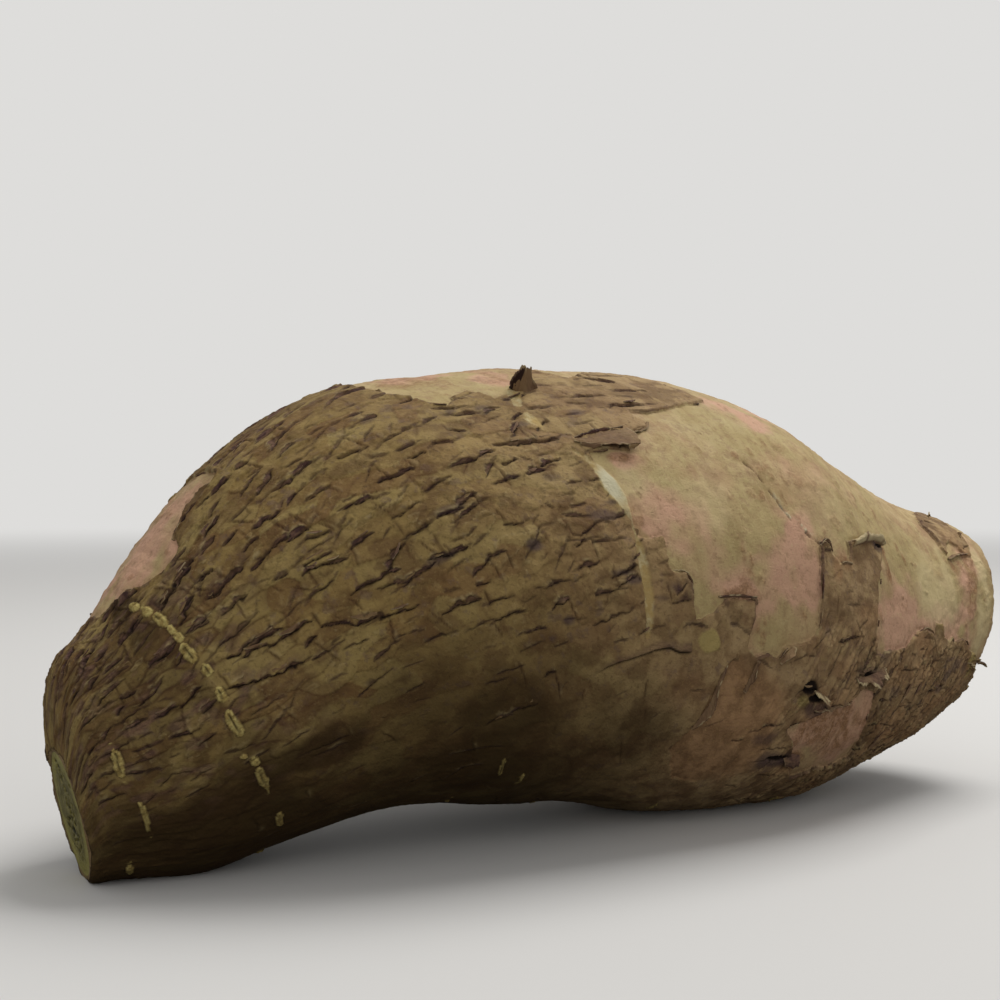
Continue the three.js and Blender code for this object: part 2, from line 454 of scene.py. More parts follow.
def beside_line(line, reach):
    """The skin's grid round a line of (mm along, degrees round, ...): the mm away from the
    line, the mm above it, the share of the way along it, and the line's other values."""
    line = np.array(line, float)
    middle, half = (line.max(0) + line.min(0)) / 2, (line.max(0) - line.min(0)) / 2
    scale = np.interp(middle[0], ALONG, MM_A_DEGREE)
    window, x, y, _ = spot(middle[0], middle[1], half[0] + reach, half[1] * scale + reach)
    nearest, above, along_line = np.full(x.shape, 1e9), np.zeros(x.shape), np.zeros(x.shape)
    others = np.zeros((line.shape[1] - 2, *x.shape))
    for k, (start, stop) in enumerate(zip(line[:-1], line[1:])):
        ax, ay = start[0] - middle[0], (start[1] - middle[1]) * scale
        dx, dy = stop[0] - start[0], (stop[1] - start[1]) * scale
        share = np.clip(((x - ax) * dx + (y - ay) * dy) / (dx * dx + dy * dy), 0, 1)
        away_x, away_y = x - ax - share * dx, y - ay - share * dy
        away = np.hypot(away_x, away_y)
        nearer = away < nearest
        nearest = np.where(nearer, away, nearest)
        side = np.where(away_y * dx - away_x * dy >= 0, 1, -1)
        above = np.where(nearer, away * side, above)
        along_line = np.where(nearer, (k + share) / (len(line) - 1), along_line)
        for j in range(len(others)):
            here = start[2 + j] + share * (stop[2 + j] - start[2 + j])
            others[j] = np.where(nearer, here, others[j])
    return window, nearest, above, along_line, others


# A crack's relief in mm: how far the upper plate's margin stands up from its
# foot, how far that foot and the lower plate's edge sink, and how far the
# upper plate stays raised beyond its margin.
MARGIN_CLIMB, MARGIN_SINK, EDGE_SINK, PLATE_RISE = 0.46, 0.20, 0.24, 0.27


def open_crack(ends, depth=1.0, tint=1.0, skew=0.5):
    """A split between two plates: the torn lower margin of the upper one stands over it."""
    (ax, ad), (bx, bd) = ends
    scale = np.interp((ax + bx) / 2, ALONG, MM_A_DEGREE)
    window, x, y, _ = spot((ax + bx) / 2, (ad + bd) / 2, abs(bx - ax) / 2 + 3,
                           abs(bd - ad) / 2 * scale + 3.5)
    dx, dy = bx - ax, (bd - ad) * scale
    length = math.hypot(dx, dy)
    if x.size == 0 or length == 0:
        return
    if dx < 0:
        dx, dy = -dx, -dy
    share = (x * dx + y * dy) / length ** 2 + 0.5
    above = (y * dx - x * dy) / length + wander[window] * min(1.0, 0.4 + depth * 0.6)
    warped = np.clip(share, 0, 1) ** (math.log(0.5) / math.log(skew))
    bow = np.clip(4.1 * (warped + 0.01) * (1.01 - warped), 0, 1) * (np.abs(share - 0.5) < 0.51)
    taper = np.sqrt(bow) * on_bark[window] * depth
    shown = np.minimum(bow ** 0.35 * on_bark[window] * depth * 1.3, 1)
    streaks, bumps = fibres[window], uneven[window]
    face = np.maximum((0.10 + 0.62 * min(depth, 1.3)) * bow ** 0.7
                      * (1 + 0.42 * bumps + 0.16 * streaks), 0.04)
    climb = np.clip(above / face, 0, 1)
    height[window] += taper * np.where(
        above > 0,
        np.where(above < face,
                 MARGIN_CLIMB * climb ** 1.4 - MARGIN_SINK + 0.05 * streaks * (climb < 1), 0)
        + (above >= face) * PLATE_RISE * np.exp(-(above - face) / 1.3),
        -EDGE_SINK * np.exp(above / 0.5))
    height[window] -= taper * 0.34 * ridge(above, -0.02, 0.20)
    slide[window] -= taper * 0.26 * ridge(above, face, 0.32)
    # Painted shade: a near-black line at the crack's foot, under the raised margin, and a fainter one
    # under its brow.
    foot = ridge(above, 0.03, 0.155)
    brow = 0.50 * ridge(above - face, -0.05, 0.13) * eased(bumps, -0.6, 0.8)
    raise_to(groove, shown * np.maximum(foot, brow), window)
    torn = eased(above, -0.10, 0.05) * (1 - eased(above - face, -0.08, 0.12))
    raise_to(band, shown * tint * torn * (0.84 + 0.16 * streaks), window)
    # Painted shade: the plates just beside the crack are darkened brown.
    beyond = np.maximum(above - face, -above).clip(0)
    raise_to(crumble, 0.75 * np.minimum(taper, 1) * ridge(beyond, 0, 0.8) * eased(bumps, -0.6, 1.0),
             window)
    # Pale chips along the top of the raised margin, partly a painted highlight.
    rim = ridge(above - face, 0.16, 0.18) * eased(streaks + bumps, 0.3, 1.6)
    raise_to(chips, 0.6 * np.minimum(taper, 1) * rim, window)


def crease(place, degrees, half, depth, slant):
    """A thin line round the root between two plates, with one edge a little raised."""
    window, x, y, _ = spot(place, degrees, 1.5 + abs(slant) * half, half + 0.6)
    aside = x - slant * y + 0.55 * wander[window]
    taper = np.sqrt(np.clip(1 - (y / half) ** 2, 0, 1)) * on_bark[window] * depth
    line = ridge(aside, 0, 0.14)
    lip = ridge(aside, 0.42, 0.26)
    height[window] += taper * (0.13 * lip - 0.22 * line)
    # Painted shade in the crease's line.
    raise_to(groove, 0.55 * taper * line, window)
    raise_to(reddish, 0.65 * taper * ridge(aside, 0, 0.28), window)
    # A pale chip along the raised lip, partly a painted highlight.
    raise_to(chips, 0.30 * taper * lip * eased(uneven[window], 0.2, 1.2), window)


# The cracks that show best, on the near side: mm along and degrees round at
# each end, and depth.
NEAR_CRACKS = [
    (-86, 57, -82, 60.4, 1.2), (-82.5, 60.3, -78, 61, 1.3), (-76.5, 60, -73.5, 60.4, 1.0),
    (-63, 58, -60, 57, 0.9), (-60.5, 57, -56, 58, 1.1), (-52.5, 54.3, -49.5, 53.6, 1.2),
    (-79, 54, -77, 53, 0.9), (-69, 52.5, -64.5, 52, 0.9), (-63.2, 51.5, -61, 53, 0.8),
    (-84, 50, -81.5, 51, 0.9), (-72, 49.6, -69.5, 49.2, 0.9), (-61, 48.6, -56.5, 49.4, 0.7),
    (-80, 46.6, -77.5, 45, 1.0), (-78, 45, -74, 45.4, 1.1),
    (-73, 43, -69.5, 43.4, 1.2), (-69, 44, -66, 44.2, 1.1), (-66.5, 43.2, -63.4, 42, 1.3),
    (-85.6, 43, -82.4, 41.4, 1.0), (-58, 41.6, -53.2, 39.2, 0.9), (-50.6, 42, -45, 42.2, 1.1),
    (-80, 38.4, -76, 37.8, 0.9), (-72, 35.5, -69.8, 34.6, 0.7), (-67, 33.6, -63, 33, 1.0),
    (-68, 32, -64.5, 31, 1.0), (-65, 31, -61.6, 29.4, 1.0), (-84, 30.4, -78, 31.4, 0.9),
    (-60, 31, -56, 31.6, 0.8), (-46.4, 27.6, -42, 28.6, 1.2), (-42.6, 29, -38.8, 30.4, 1.3),
    (-43, 26, -39.4, 28, 0.9), (-83, 26.6, -79, 25.6, 1.0), (-79.5, 25, -75, 23.6, 1.2),
    (-81, 24.4, -77.5, 21.6, 1.0), (-77.5, 21.4, -71, 20, 1.1), (-69, 26, -65, 26, 0.8),
    (-64, 20, -60, 20.4, 1.2), (-60.5, 20.4, -56, 20, 1.2), (-57, 20.6, -53, 25.8, 1.1),
    (-53, 26.4, -48, 27, 0.8), (-51, 19.4, -48, 18.2, 1.1), (-48.5, 18.4, -44.8, 19.2, 1.3),
    (-60, 18.4, -55.5, 16.2, 0.7), (-56.5, 15.8, -50.4, 18.4, 1.0), (-85, 18.4, -81.5, 14.6, 1.5),
    (-81.6, 14.6, -75, 11.4, 1.5), (-70, 17, -66, 14, 1.2), (-66.4, 14.2, -61.5, 11.2, 1.4),
    (-62, 11.2, -56, 10.2, 1.1), (-46, 12.6, -42, 14.6, 0.9), (-42.5, 14.6, -39, 15.6, 0.9),
    (-40, 38.6, -35, 39.4, 0.9), (-35, 39.4, -30.6, 40.6, 0.8), (-31, 36.6, -28, 37.6, 1.0),
    (-30, 42, -22, 43, 1.0), (-22.4, 42.8, -18, 43.4, 0.9), (-28, 33, -24, 34.4, 0.9),
    (-24.4, 35, -20, 37, 0.9), (-69, 8.6, -65.4, 8.2, 0.6), (-53, 6, -46.4, 6.6, 1.3),
    (-45, 4.8, -42, 5.4, 1.0), (-34, 0.6, -30, 2.4, 1.0), (-70, -5, -66, -3.6, 0.7),
    (-45, 0.4, -39, 1.2, 0.8), (-42, -4.4, -36.4, -3.6, 0.7), (-26, 9, -22, 10.8, 1.0),
    (-20, 6.4, -14.2, 8.4, 1.2), (-24, 2.4, -19, 3.6, 0.9), (-19, 4, -14.4, 6.6, 0.9),
    (-26, -4.6, -17.4, -1.6, 0.7), (-16, -7.6, -13, -6.6, 0.9), (-48, -12.6, -42.4, -12, 0.6),
    (-50, -14.6, -46, -14.2, 0.5), (-51, -27, -46, -25, 0.8), (-46.4, -24.6, -41, -22.4, 0.9),
    (-38.4, -16, -36, -15.4, 1.0), (-56, -36.4, -50, -35.6, 0.6), (-59, -48.6, -54.6, -43, 0.7),
    (-13.4, 41.6, -9, 43, 1.2),
    (-9.4, 43, -4, 44, 1.2), (-8, -0.6, -3.6, 0.2, 0.9), (37, -7.4, 43.4, -5, 0.9),
    (34, 15.6, 38, 16.2, 0.6), (19, -32.4, 22.6, -30.6, 0.9), (12, -35.6, 15, -35.2, 0.6),
    (27.6, -20.6, 32.4, -20.4, 1.5), (34, -26.8, 38, -26.2, 1.3), (38, -25.6, 44, -24.6, 0.9),
    (46.4, -15.6, 51, -13.4, 1.5), (57, -24, 60, -22.4, 1.0), (56.6, -31.6, 60.4, -31, 0.9),
    (57, -36.4, 60, -35.4, 0.8), (56.4, -42.6, 60.4, -42, 1.0), (57, -46.4, 62, -47, 0.8),
    (61.6, -32.4, 66, -33.4, 0.7), (78.6, -22.4, 86, -22, 0.9), (74, -34.4, 78.6, -32.4, 0.8),
    (75, -29.8, 78.4, -28.4, 0.9), (70.4, -46.6, 74, -47, 0.7), (83.6, -12, 88, -11, 0.9),
    (79.6, -7.4, 81.8, -4.6, 0.8), (62.6, -12.4, 67, -12, 0.6), (-5.4, 72, -1, 70.4, 0.7),
    (-1, 69.6, 4, 67.2, 0.9), (-9, 58.6, -4, 58.8, 0.8), (-3, 53.6, 5, 56.2, 1.0),
    (2, 62, 8, 63.4, 0.6), (-47, 65.6, -44, 65.8, 0.7), (-45.4, 62, -43, 62.4, 1.0),
    (-64, 85, -58, 88.5, 1.0), (-56, 84, -53.5, 86.4, 0.7), (-76.6, 76.8, -71, 78.2, 0.9),
    (-70.4, 75.8, -65.6, 74.4, 1.1), (-63.4, 75.6, -61.4, 74.6, 0.9),
    (-101, 70, -97.6, 74, 0.8), (-93, 84, -90, 80.4, 1.1), (-89.4, 79, -86.4, 73.4, 1.0),
    (-98.6, 65, -96, 66.6, 0.7), (-92, 62, -89, 62.4, 0.8), (-96, 24.6, -92.6, 23.6, 0.8),
    (-95.4, 14.6, -92.6, 12.6, 0.8), (-104, 27.6, -102.6, 31, 0.7),
    (-86, 55.8, -83.8, 58.6, 1.2), (-84, 58.4, -79, 59.4, 1.3), (-80.6, 54, -77, 52, 0.8),
    (-85.6, 47.2, -82, 50.2, 1.0), (-80.5, 46.5, -78.5, 44.2, 0.9), (-94, 61.6, -89, 60.8, 1.2),
    (-92.6, 43.5, -87.6, 42.8, 1.2), (-102.6, 66, -97.6, 75, 0.9), (-85.5, 42, -82.4, 39.8, 0.7),
    (-92, 22.5, -88.5, 23.2, 1.1), (-97, 33, -92, 36, 0.7), (-107, 42, -104, 39.8, 0.7),
    (-102.6, 44.2, -97, 47.2, 0.7), (-104.4, 79, -99, 87, 0.8), (-99, 56, -95.4, 56.6, 0.7),
    (-100.6, 30, -97.4, 31.6, 0.6), (-81, -14.4, -74, -16.4, 0.5), (-79, -17.6, -74.4, -18.2, 0.4),
]
crack_draws = np.random.default_rng(31)
CLOSENESS = np.clip(np.gradient(ALONG) / STEP_ALONG, 0.25, 1)
MOST_CRACKS = 6000
cracks_made = np.zeros((MOST_CRACKS, 3))  # each one's place, degrees and half length
cracks_count = 0
crack_lines = []


def make_crack(ax, ad, bx, bd, depth, tint=1.0):
    """One crack, kept in the list, and often a crease from one of its ends."""
    global cracks_count
    open_crack(((ax - 0.3, ad), (bx + 0.3, bd)), depth, tint, crack_draws.uniform(0.32, 0.68))
    crack_lines.append((ax, ad, bx, bd, depth))
    cracks_made[cracks_count] = (ax + bx) / 2, (ad + bd) / 2, abs(bx - ax) / 2
    cracks_count += 1
    tail, drop = crack_draws.uniform(1.0, 3.6), crack_draws.normal(0.4, 0.7)
    tail *= np.interp(ax, ALONG, CLOSENESS)
    if depth > 0.45 and crack_draws.random() < 0.45:
        open_crack(((bx - 0.3, bd), (bx + tail, bd + drop)), 0.36)
    if depth > 0.45 and crack_draws.random() < 0.30:
        open_crack(((ax - tail, ad - drop), (ax + 0.3, ad)), 0.32)
    reach, slant = crack_draws.uniform(1.2, 3.0), crack_draws.normal(-0.15, 0.22)
    side, way = crack_draws.random() < 0.5, crack_draws.choice([-1, 1])
    if depth > 0.45 and crack_draws.random() < 0.5:
        place, degrees = (ax - 0.2, ad) if side else (bx + 0.2, bd)
        scale = np.interp(place, ALONG, MM_A_DEGREE)
        crease(place, degrees + way * reach / scale, reach, min(1.0, depth), slant)


def roomy(place, degrees, half, long_gap, round_gap):
    """Whether a new crack here keeps clear of those made so far."""
    made = cracks_made[:cracks_count]
    beyond = np.abs(made[:, 0] - place) - made[:, 2] - half
    aside = np.abs((made[:, 1] - degrees + 180) % 360 - 180) * np.interp(place, ALONG, MM_A_DEGREE)
    return (np.hypot(beyond.clip(0) / long_gap, aside / round_gap) > 1).all()


def rough(place, degrees):
    """How deeply the plates split here: most over the upper half, least low down."""
    upper = eased(np.sin(np.radians(degrees)), -0.30, 0.30) * (1 - 0.35 * eased(place, -20, 30))
    below_tail = 0.8 * eased(place, 30, 52) * eased(-degrees, 2, 14) * eased(degrees, -80, -55)
    calm = eased(place, 80, 90) * eased(degrees, 20, 36) * (1 - eased(degrees, 90, 110))
    calm = np.maximum(
        calm, eased(place, 30, 34) * (1 - eased(place, 58, 62)) * eased(degrees, -12, -4))
    calm = np.maximum(
        calm, 0.9 * eased(place, -16, -12) * eased(degrees, 42, 48) * eased(-degrees, -96, -80))
    return np.maximum(upper, below_tail) * (1 - 0.85 * calm)


for ax, ad, bx, bd, depth in NEAR_CRACKS:
    make_crack(ax, ad, bx, bd, depth)

# One long plate margin low on the side has rolled out smoothly.
LIP = [(-27.6, -17.2), (-24, -15.2), (-20, -13.8), (-16.5, -12.7), (-12.5, -11.4), (-9, -11),
       (-6.5, -12), (-3.8, -12.2)]
window, _, above, share, _ = beside_line(LIP, 5)
above = above + 0.35 * wander[window]
taper = eased(share, 0, 0.25) * (1 - eased(share, 0.985, 1.0)) * on_bark[window]
LIP_RISE, LIP_SINK = 0.62, 0.20
height[window] += taper * np.where(
    above > 0, LIP_RISE * np.exp(-above / 1.7), -LIP_SINK * np.exp(above / 0.8))
height[window] -= 0.4 * taper * ridge(above, -0.05, 0.25)
# Painted shade in the groove under the rolled lip.
raise_to(groove, taper * ridge(above, -0.10, 0.24), window)
raise_to(band, 0.55 * taper * eased(above, -0.1, 0.1)
         * (1 - eased(above, 0.4 + 1.2 * share, 0.8 + 1.6 * share)), window)
for place in (-26, -20, -14, -8):
    cracks_made[cracks_count] = place, np.interp(place, *np.array(LIP).T), 3.0
    cracks_count += 1

# The rest of the cracks, thrown at random and kept where there is room: tries,
# the least and most of length and depth, the gaps kept along and round, and
# where they go. The first fill the hidden side, then come those below the
# tail, those round the neck, and the shorter ones all over.
CRACK_PASSES = [
    (2600, 4.0, 10.0, 0.75, 1.35, 1.6, 3.2, "hidden"),
    (1500, 1.2, 3.6, 0.55, 1.15, 0.5, 1.5, "tail"),
    (500, 1.6, 4.2, 0.40, 0.85, 0.3, 1.7, "neck"),
    (5000, 2.2, 5.4, 0.42, 0.95, 1.2, 2.5, "all"),
    (3800, 1.2, 3.4, 0.22, 0.52, 0.7, 1.5, "all"),
]
for tries, low_mm, high_mm, low_depth, high_depth, long_gap, round_gap, reach in CRACK_PASSES:
    for _ in range(tries):
        place, degrees = crack_draws.uniform(-106, 109), crack_draws.uniform(-180, 180)
        if reach == "tail":
            place, degrees = crack_draws.uniform(24, 109), crack_draws.uniform(-66, 0)
        elif reach == "neck":
            place = crack_draws.uniform(-108.4, -97)
        half, tip = crack_draws.uniform(low_mm, high_mm) / 2, crack_draws.normal(1.2, 1.8)
        half *= np.interp(place, ALONG, CLOSENESS)
        tip += 6 * half * (place > 35 and -70 < degrees < -8)
        depth, chance = crack_draws.uniform(low_depth, high_depth), crack_draws.random()
        seen_side = -60 < degrees < 72 and not (place > 22 and degrees < -18)
        spread = rough(place, degrees)
        if (reach == "hidden" and seen_side) or chance > 0.04 + 0.96 * spread:
            continue
        if value_at(on_bark, place, degrees) >= 0.5 and roomy(place, degrees, half, long_gap, round_gap):
            make_crack(place - half, degrees - tip / 2, place + half, degrees + tip / 2,
                       depth * (0.45 + 0.55 * spread), 0.95)
# Creases that stand alone, anywhere on the bark.
LONE_CREASES = 170
for _ in range(LONE_CREASES):
    crease(crack_draws.uniform(-106, 106), crack_draws.uniform(-180, 180),
           crack_draws.uniform(0.8, 3.4), crack_draws.uniform(0.3, 0.9),
           crack_draws.normal(-0.1, 0.25))

# The plates themselves: a jittered net, longer along the root than round it,
# each plate a little tilted and with a tone of its own.
PLATE_LONG, PLATES_ROUND = 8.0, 62
plate_draws = np.random.default_rng(77)
cells_long = int(rings * STEP_ALONG / PLATE_LONG) + 4
offsets = plate_draws.uniform(-0.42, 0.42, (cells_long, PLATES_ROUND, 2))
plate_tones = plate_draws.uniform(0, 1, (cells_long, PLATES_ROUND))
plate_tilts = plate_draws.normal(0, 1, (cells_long, PLATES_ROUND, 2))
net_long = np.arange(rings)[:, None] * STEP_ALONG / PLATE_LONG + 1 + 0.10 * grain(31, 6, 6)
net_round = (round_grid + 180) / 360 * PLATES_ROUND + 0.16 * grain(32, 6, 6)
cell_a, cell_b = np.floor(net_long).astype(int), np.floor(net_round).astype(int)
first, second = np.full(height.shape, 9.0), np.full(height.shape, 9.0)
tone, lean_a, lean_b = (np.zeros(height.shape) for _ in range(3))
for da in (-1, 0, 1):
    for db in (-1, 0, 1):
        ia, ib = np.clip(cell_a + da, 0, cells_long - 1), (cell_b + db) % PLATES_ROUND
        away_a = net_long - (cell_a + da + 0.5 + offsets[ia, ib, 0])
        away_b = net_round - (cell_b + db + 0.5 + offsets[ia, ib, 1])
        away = np.sqrt(away_a ** 2 + away_b ** 2)
        nearer = away < first
        second = np.where(nearer, first, np.minimum(second, away))
        first = np.where(nearer, away, first)
        tone = np.where(nearer, plate_tones[ia, ib], tone)
        lean_a = np.where(nearer, away_a * plate_tilts[ia, ib, 0], lean_a)
        lean_b = np.where(nearer, away_b * (plate_tilts[ia, ib, 1] - 0.8), lean_b)
roughness = rough(along_grid, round_grid)
near_neck = 1 - eased(along_grid, -88, -66)
whole_plates = eased(along_grid, -108.6, -105)
seam = ridge(second - first, 0, 0.05 + 0.08 * near_neck)
seam *= on_bark * whole_plates * eased(grain(33, 5, 5), -0.5, 0.9)
# Painted shade in the seams between plates, more of it near the neck.
raise_to(groove, seam * (0.12 + 0.20 * near_neck) * (0.4 + 0.6 * roughness))
raise_to(reddish, seam * (0.30 + 0.45 * near_neck))
height -= 0.08 * seam * (0.3 + 0.7 * roughness)
height += on_bark * whole_plates * (0.25 + 0.75 * roughness) * (0.08 * lean_a + 0.12 * lean_b)

# Where thin scales of cork have flaked off a plate, low steps are left, with a
# pale broken margin above, partly a painted highlight, and painted shade at the
# foot below: seed, run along and round in mm, how rare they are, and the step in mm.
FLAKED_SCALES = [(51, 5.0, 2.4, 0.9, 0.12), (52, 3.4, 1.8, 1.2, 0.10), (53, 2.2, 3.6, 1.35, 0.08)]
amount = on_bark * (0.08 + 0.92 * roughness)
for seed, long_mm, round_mm, level, step in FLAKED_SCALES:
    flaked = grain(seed, long_mm, round_mm) + 0.08 * grain(seed + 50, 0.8, 0.8)
    height += amount * step * eased(flaked, level, level + 0.18)
    raise_to(chips, 0.34 * amount * ridge(flaked - level, 0.20, 0.08)
             * eased(grain(seed + 70, 5, 5), 0.2, 1.3))
    raise_to(groove, 0.34 * amount * ridge(flaked, level, 0.07))

# Below the tail the bark is scaly, in slanting strokes: each ring of the grid
# turns the pattern this many points further round.
SLANT = 1.7
slanted = np.arange(STEPS_ROUND)[None, :] - (SLANT * np.arange(rings)[:, None]).astype(int)
slanted %= STEPS_ROUND
strokes = np.take_along_axis(grain(81, 2.3, 1.0), slanted, 1)
breaks = np.take_along_axis(grain(82, 1.5, 1.3), slanted, 1)
scaly = eased(along_grid, 12, 36) * eased(-round_grid, -4, 8) * (1 - eased(-round_grid, 75, 100))
scaly = scaly * on_bark * (0.45 + 0.55 * eased(grain(83, 7, 7), -0.8, 0.6))
strokes = 0.85 * strokes + 0.6 * breaks
height += scaly * (0.20 * eased(strokes, 0.2, 0.42) + 0.20 * eased(strokes, 1.0, 1.25))
# Painted shade in the grooves between the scaly strokes.
raise_to(groove, scaly * 0.60 * ridge(strokes, 0.16, 0.11) * eased(breaks, -0.4, 0.8))
raise_to(band, scaly * 0.55 * eased(-strokes, 0.5, 1.3) * eased(grain(86, 6, 5), -0.2, 0.9))
# Pale chips on the strokes' upper edges, partly a painted highlight.
raise_to(chips, scaly * 0.55 * ridge(strokes, 1.1, 0.12) * eased(breaks, 0.2, 1.0))
raise_to(film, scaly * 0.35 * eased(grain(87, 8, 3), 0.1, 1.1))
raise_to(band, 0.60 * near_neck * on_bark * eased(grain(88, 3.2, 2.6), 0.35, 1.5)
         * eased(round_grid, -30, 10) * (1 - eased(round_grid, 200, 220)))
zones = eased(grain(61, 7.0, 3.2) + 0.35 * grain(62, 1.3, 1.0), 0.5, 1.3)
raise_to(crumble, 0.85 * zones * on_bark * whole_plates)

# Lenticels: raised corky blisters in rings round the root. Each is a spindle of
# two lips with a slit between them.
LENTICELS = [
    # mm along, from and to degrees round, width, slit
    (-88.5, 65.5, 71, 2.4, 0.0), (-87.7, 58, 63.5, 2.2, 0.6), (-87.1, 49.6, 58, 2.3, 1.0),
    (-86.8, 45.2, 50, 1.7, 0.7), (-86.7, 40.8, 45.6, 1.9, 0.8), (-87.1, 32, 41, 2.5, 1.0),
    (-86.3, 25, 29.6, 2.1, 1.0), (-86.5, 15, 20.8, 2.1, 1.0), (-87.0, 1.6, 13, 2.3, 1.0),
    (-87.8, -4, -6, 1.4, 0.0), (-86.7, -6, -11, 1.8, 0.3), (-86.7, -11, -22, 2.0, 0.8),
    (-103.5, 7, 22, 2.1, 0.9), (-102.6, -5, -25, 1.1, 0.4), (-105.4, -47, -58, 1.2, 0.4),
    (-47.6, -39.6, -48, 1.2, 1.0), (-42.0, -47.6, -51.6, 1.4, 0.3),
]
for base_place, start, stop in ((-87, 76, 318), (-103.6, 60, 290)):
    degrees = start
    while degrees < stop:
        reach = draws.uniform(4, 12)
        kept_bare = 76 < degrees + reach / 2 < 124 if base_place > -90 else degrees < 92
        if draws.random() < 0.62 and not kept_bare:
            LENTICELS.append((base_place + draws.normal(0, 0.5), degrees, degrees + reach,
                              draws.uniform(1.6, 2.4), draws.uniform(0.3, 1)))
        degrees += reach + draws.uniform(1.5, 9)
for _ in range(26):
    degrees, reach = draws.uniform(95, 300), draws.uniform(2, 6)
    LENTICELS.append((draws.uniform(-75, 90), degrees, degrees + reach, draws.uniform(1.0, 1.7),
                      draws.uniform(0.3, 1)))
# Their relief in mm: the blister's height, the slit's depth, and the low ring
# round its foot.
BLISTER_RISE, SLIT_SINK, MOAT_SINK = 0.46, 0.34, 0.08
for place, low, high, wide, slit in LENTICELS:
    on_neck_edge = place < -100 and 90 < low < 112
    if value_at(on_bark, place, (low + high) / 2) < 0.5 or on_neck_edge:
        continue
    scale = np.interp(place, ALONG, MM_A_DEGREE)
    half = abs(high - low) / 2 * scale * 0.94
    window, x, y, _ = spot(place, (low + high) / 2, wide + 1.5, half + 1.5)
    x = x + 0.12 * np.sin(y * 0.9 + place) + 0.10 * wander[window]
    from_middle = np.abs(y) / half
    wide = 0.66 * wide
    girth = wide / 2 * np.sqrt(np.clip(1 - from_middle ** 2.4, 0, 1))
    girth = girth * (1 + 0.07 * np.sin(y * 3.1 + 3 * place)) + 0.02
    full = np.abs(x) / girth
    mound = np.clip(1 - full ** 2, 0, 1) ** 0.7 * np.minimum(girth / (0.42 * wide), 1)
    cleft = slit * ridge(x + 0.14 * wander[window], 0, 0.17)
    cleft *= eased(0.86 - from_middle, 0, 0.25) * (full < 1)
    rungs = eased(np.sin(y * 5.0 + place + 1.5 * uneven[window]), 0.55, 1.0)
    height[window] = np.where(full < 1, np.maximum(height[window], -0.30), height[window])
    moat = ridge(full, 1.22, 0.2) * (full > 1) * (from_middle < 1.02)
    height[window] += (BLISTER_RISE * mound - SLIT_SINK * cleft - MOAT_SINK * moat
                       - 0.04 * rungs * mound)
    raise_to(cork, eased(1.06 - full, 0, 0.16), window)
    wipe(0.85 * cork[window], window, groove)
    wipe(cork[window], window, band, chips)
    # Painted shade in the slit, the moat round the foot and between the rungs.
    raise_to(groove, np.maximum(0.9 * cleft, 0.45 * moat), window)
    raise_to(groove, 0.38 * rungs * (full < 0.95), window)

# Healed scars: raised seams of pale callus, running round the root, wider and
# paler in some stretches: mm along, degrees round, width and strength.
SCARS = [
    [(-17.0, 66.5, 1.2, 0.5), (-17.8, 63, 2.3, 1.0), (-18.8, 60, 2.5, 0.95), (-19.6, 56.5, 1.2, 0.7)],
    [(-19.8, 52.4, 0.8, 0.6), (-19.6, 50.4, 1.9, 1.0), (-19.0, 47.4, 1.2, 0.7)],
    [(-16.6, 39, 0.9, 0.5), (-14.8, 36.4, 1.0, 0.6), (-13.7, 33.4, 2.3, 0.95),
     (-13.0, 29, 3.7, 1.0), (-12.4, 25.6, 2.8, 1.0), (-12.1, 22.6, 1.3, 0.8),
     (-12.0, 19.5, 0.8, 0.5), (-12.2, 15.4, 1.1, 0.8), (-12.5, 9, 1.7, 0.9), (-13, 1, 2.0, 0.9),
     (-13.5, -4.4, 1.5, 0.85), (-14.4, -8, 0.6, 0.5)],
    [(-17, 118, 1.2, 0.6), (-16, 132, 1.9, 0.8), (-13, 141, 1.4, 0.8), (-12, 152, 0.7, 0.4)],
]
for line in SCARS:
    window, nearest, _, _, (wide, strength) = beside_line(line, 5)
    inside = eased(1 - (nearest + 0.5 * wander[window]) / (wide / 2), -0.1, 0.25)
    seam_level = 0.06 * inside - 0.10 + 0.04 * uneven[window]
    height[window] = height[window] * (1 - inside) + inside * seam_level
    inside = inside * strength
    raise_to(scar, inside, window)
    wipe(inside, window, groove, band, chips)

# One fine split in the rind itself, healed, with grains of pale latex in it.
VEIN = [(19.5, 37.5), (21, 34.5), (22.3, 31.8), (23.6, 28), (25, 24.8), (26.2, 22.4), (28.5, 21),
        (31, 18.8), (33.4, 17.4)]
window, nearest, above, share, _ = beside_line(VEIN, 3)
nearest = nearest + 0.16 * uneven[window]
line = ridge(nearest, 0, 0.24) * eased(grain(15, 1.6, 1.6)[window], -1.0, 0.2)
beads = ridge(above, 0.4, 0.5) * eased(grain(14, 0.9, 0.9)[window], 0.2, 0.8)
beads *= eased(share, 0.25, 0.5)
height[window] += (0.22 * beads - 0.30 * line) * (1 - on_bark[window])
# Painted shade in the split.
raise_to(groove, 0.85 * line, window)
raise_to(latex, beads, window)
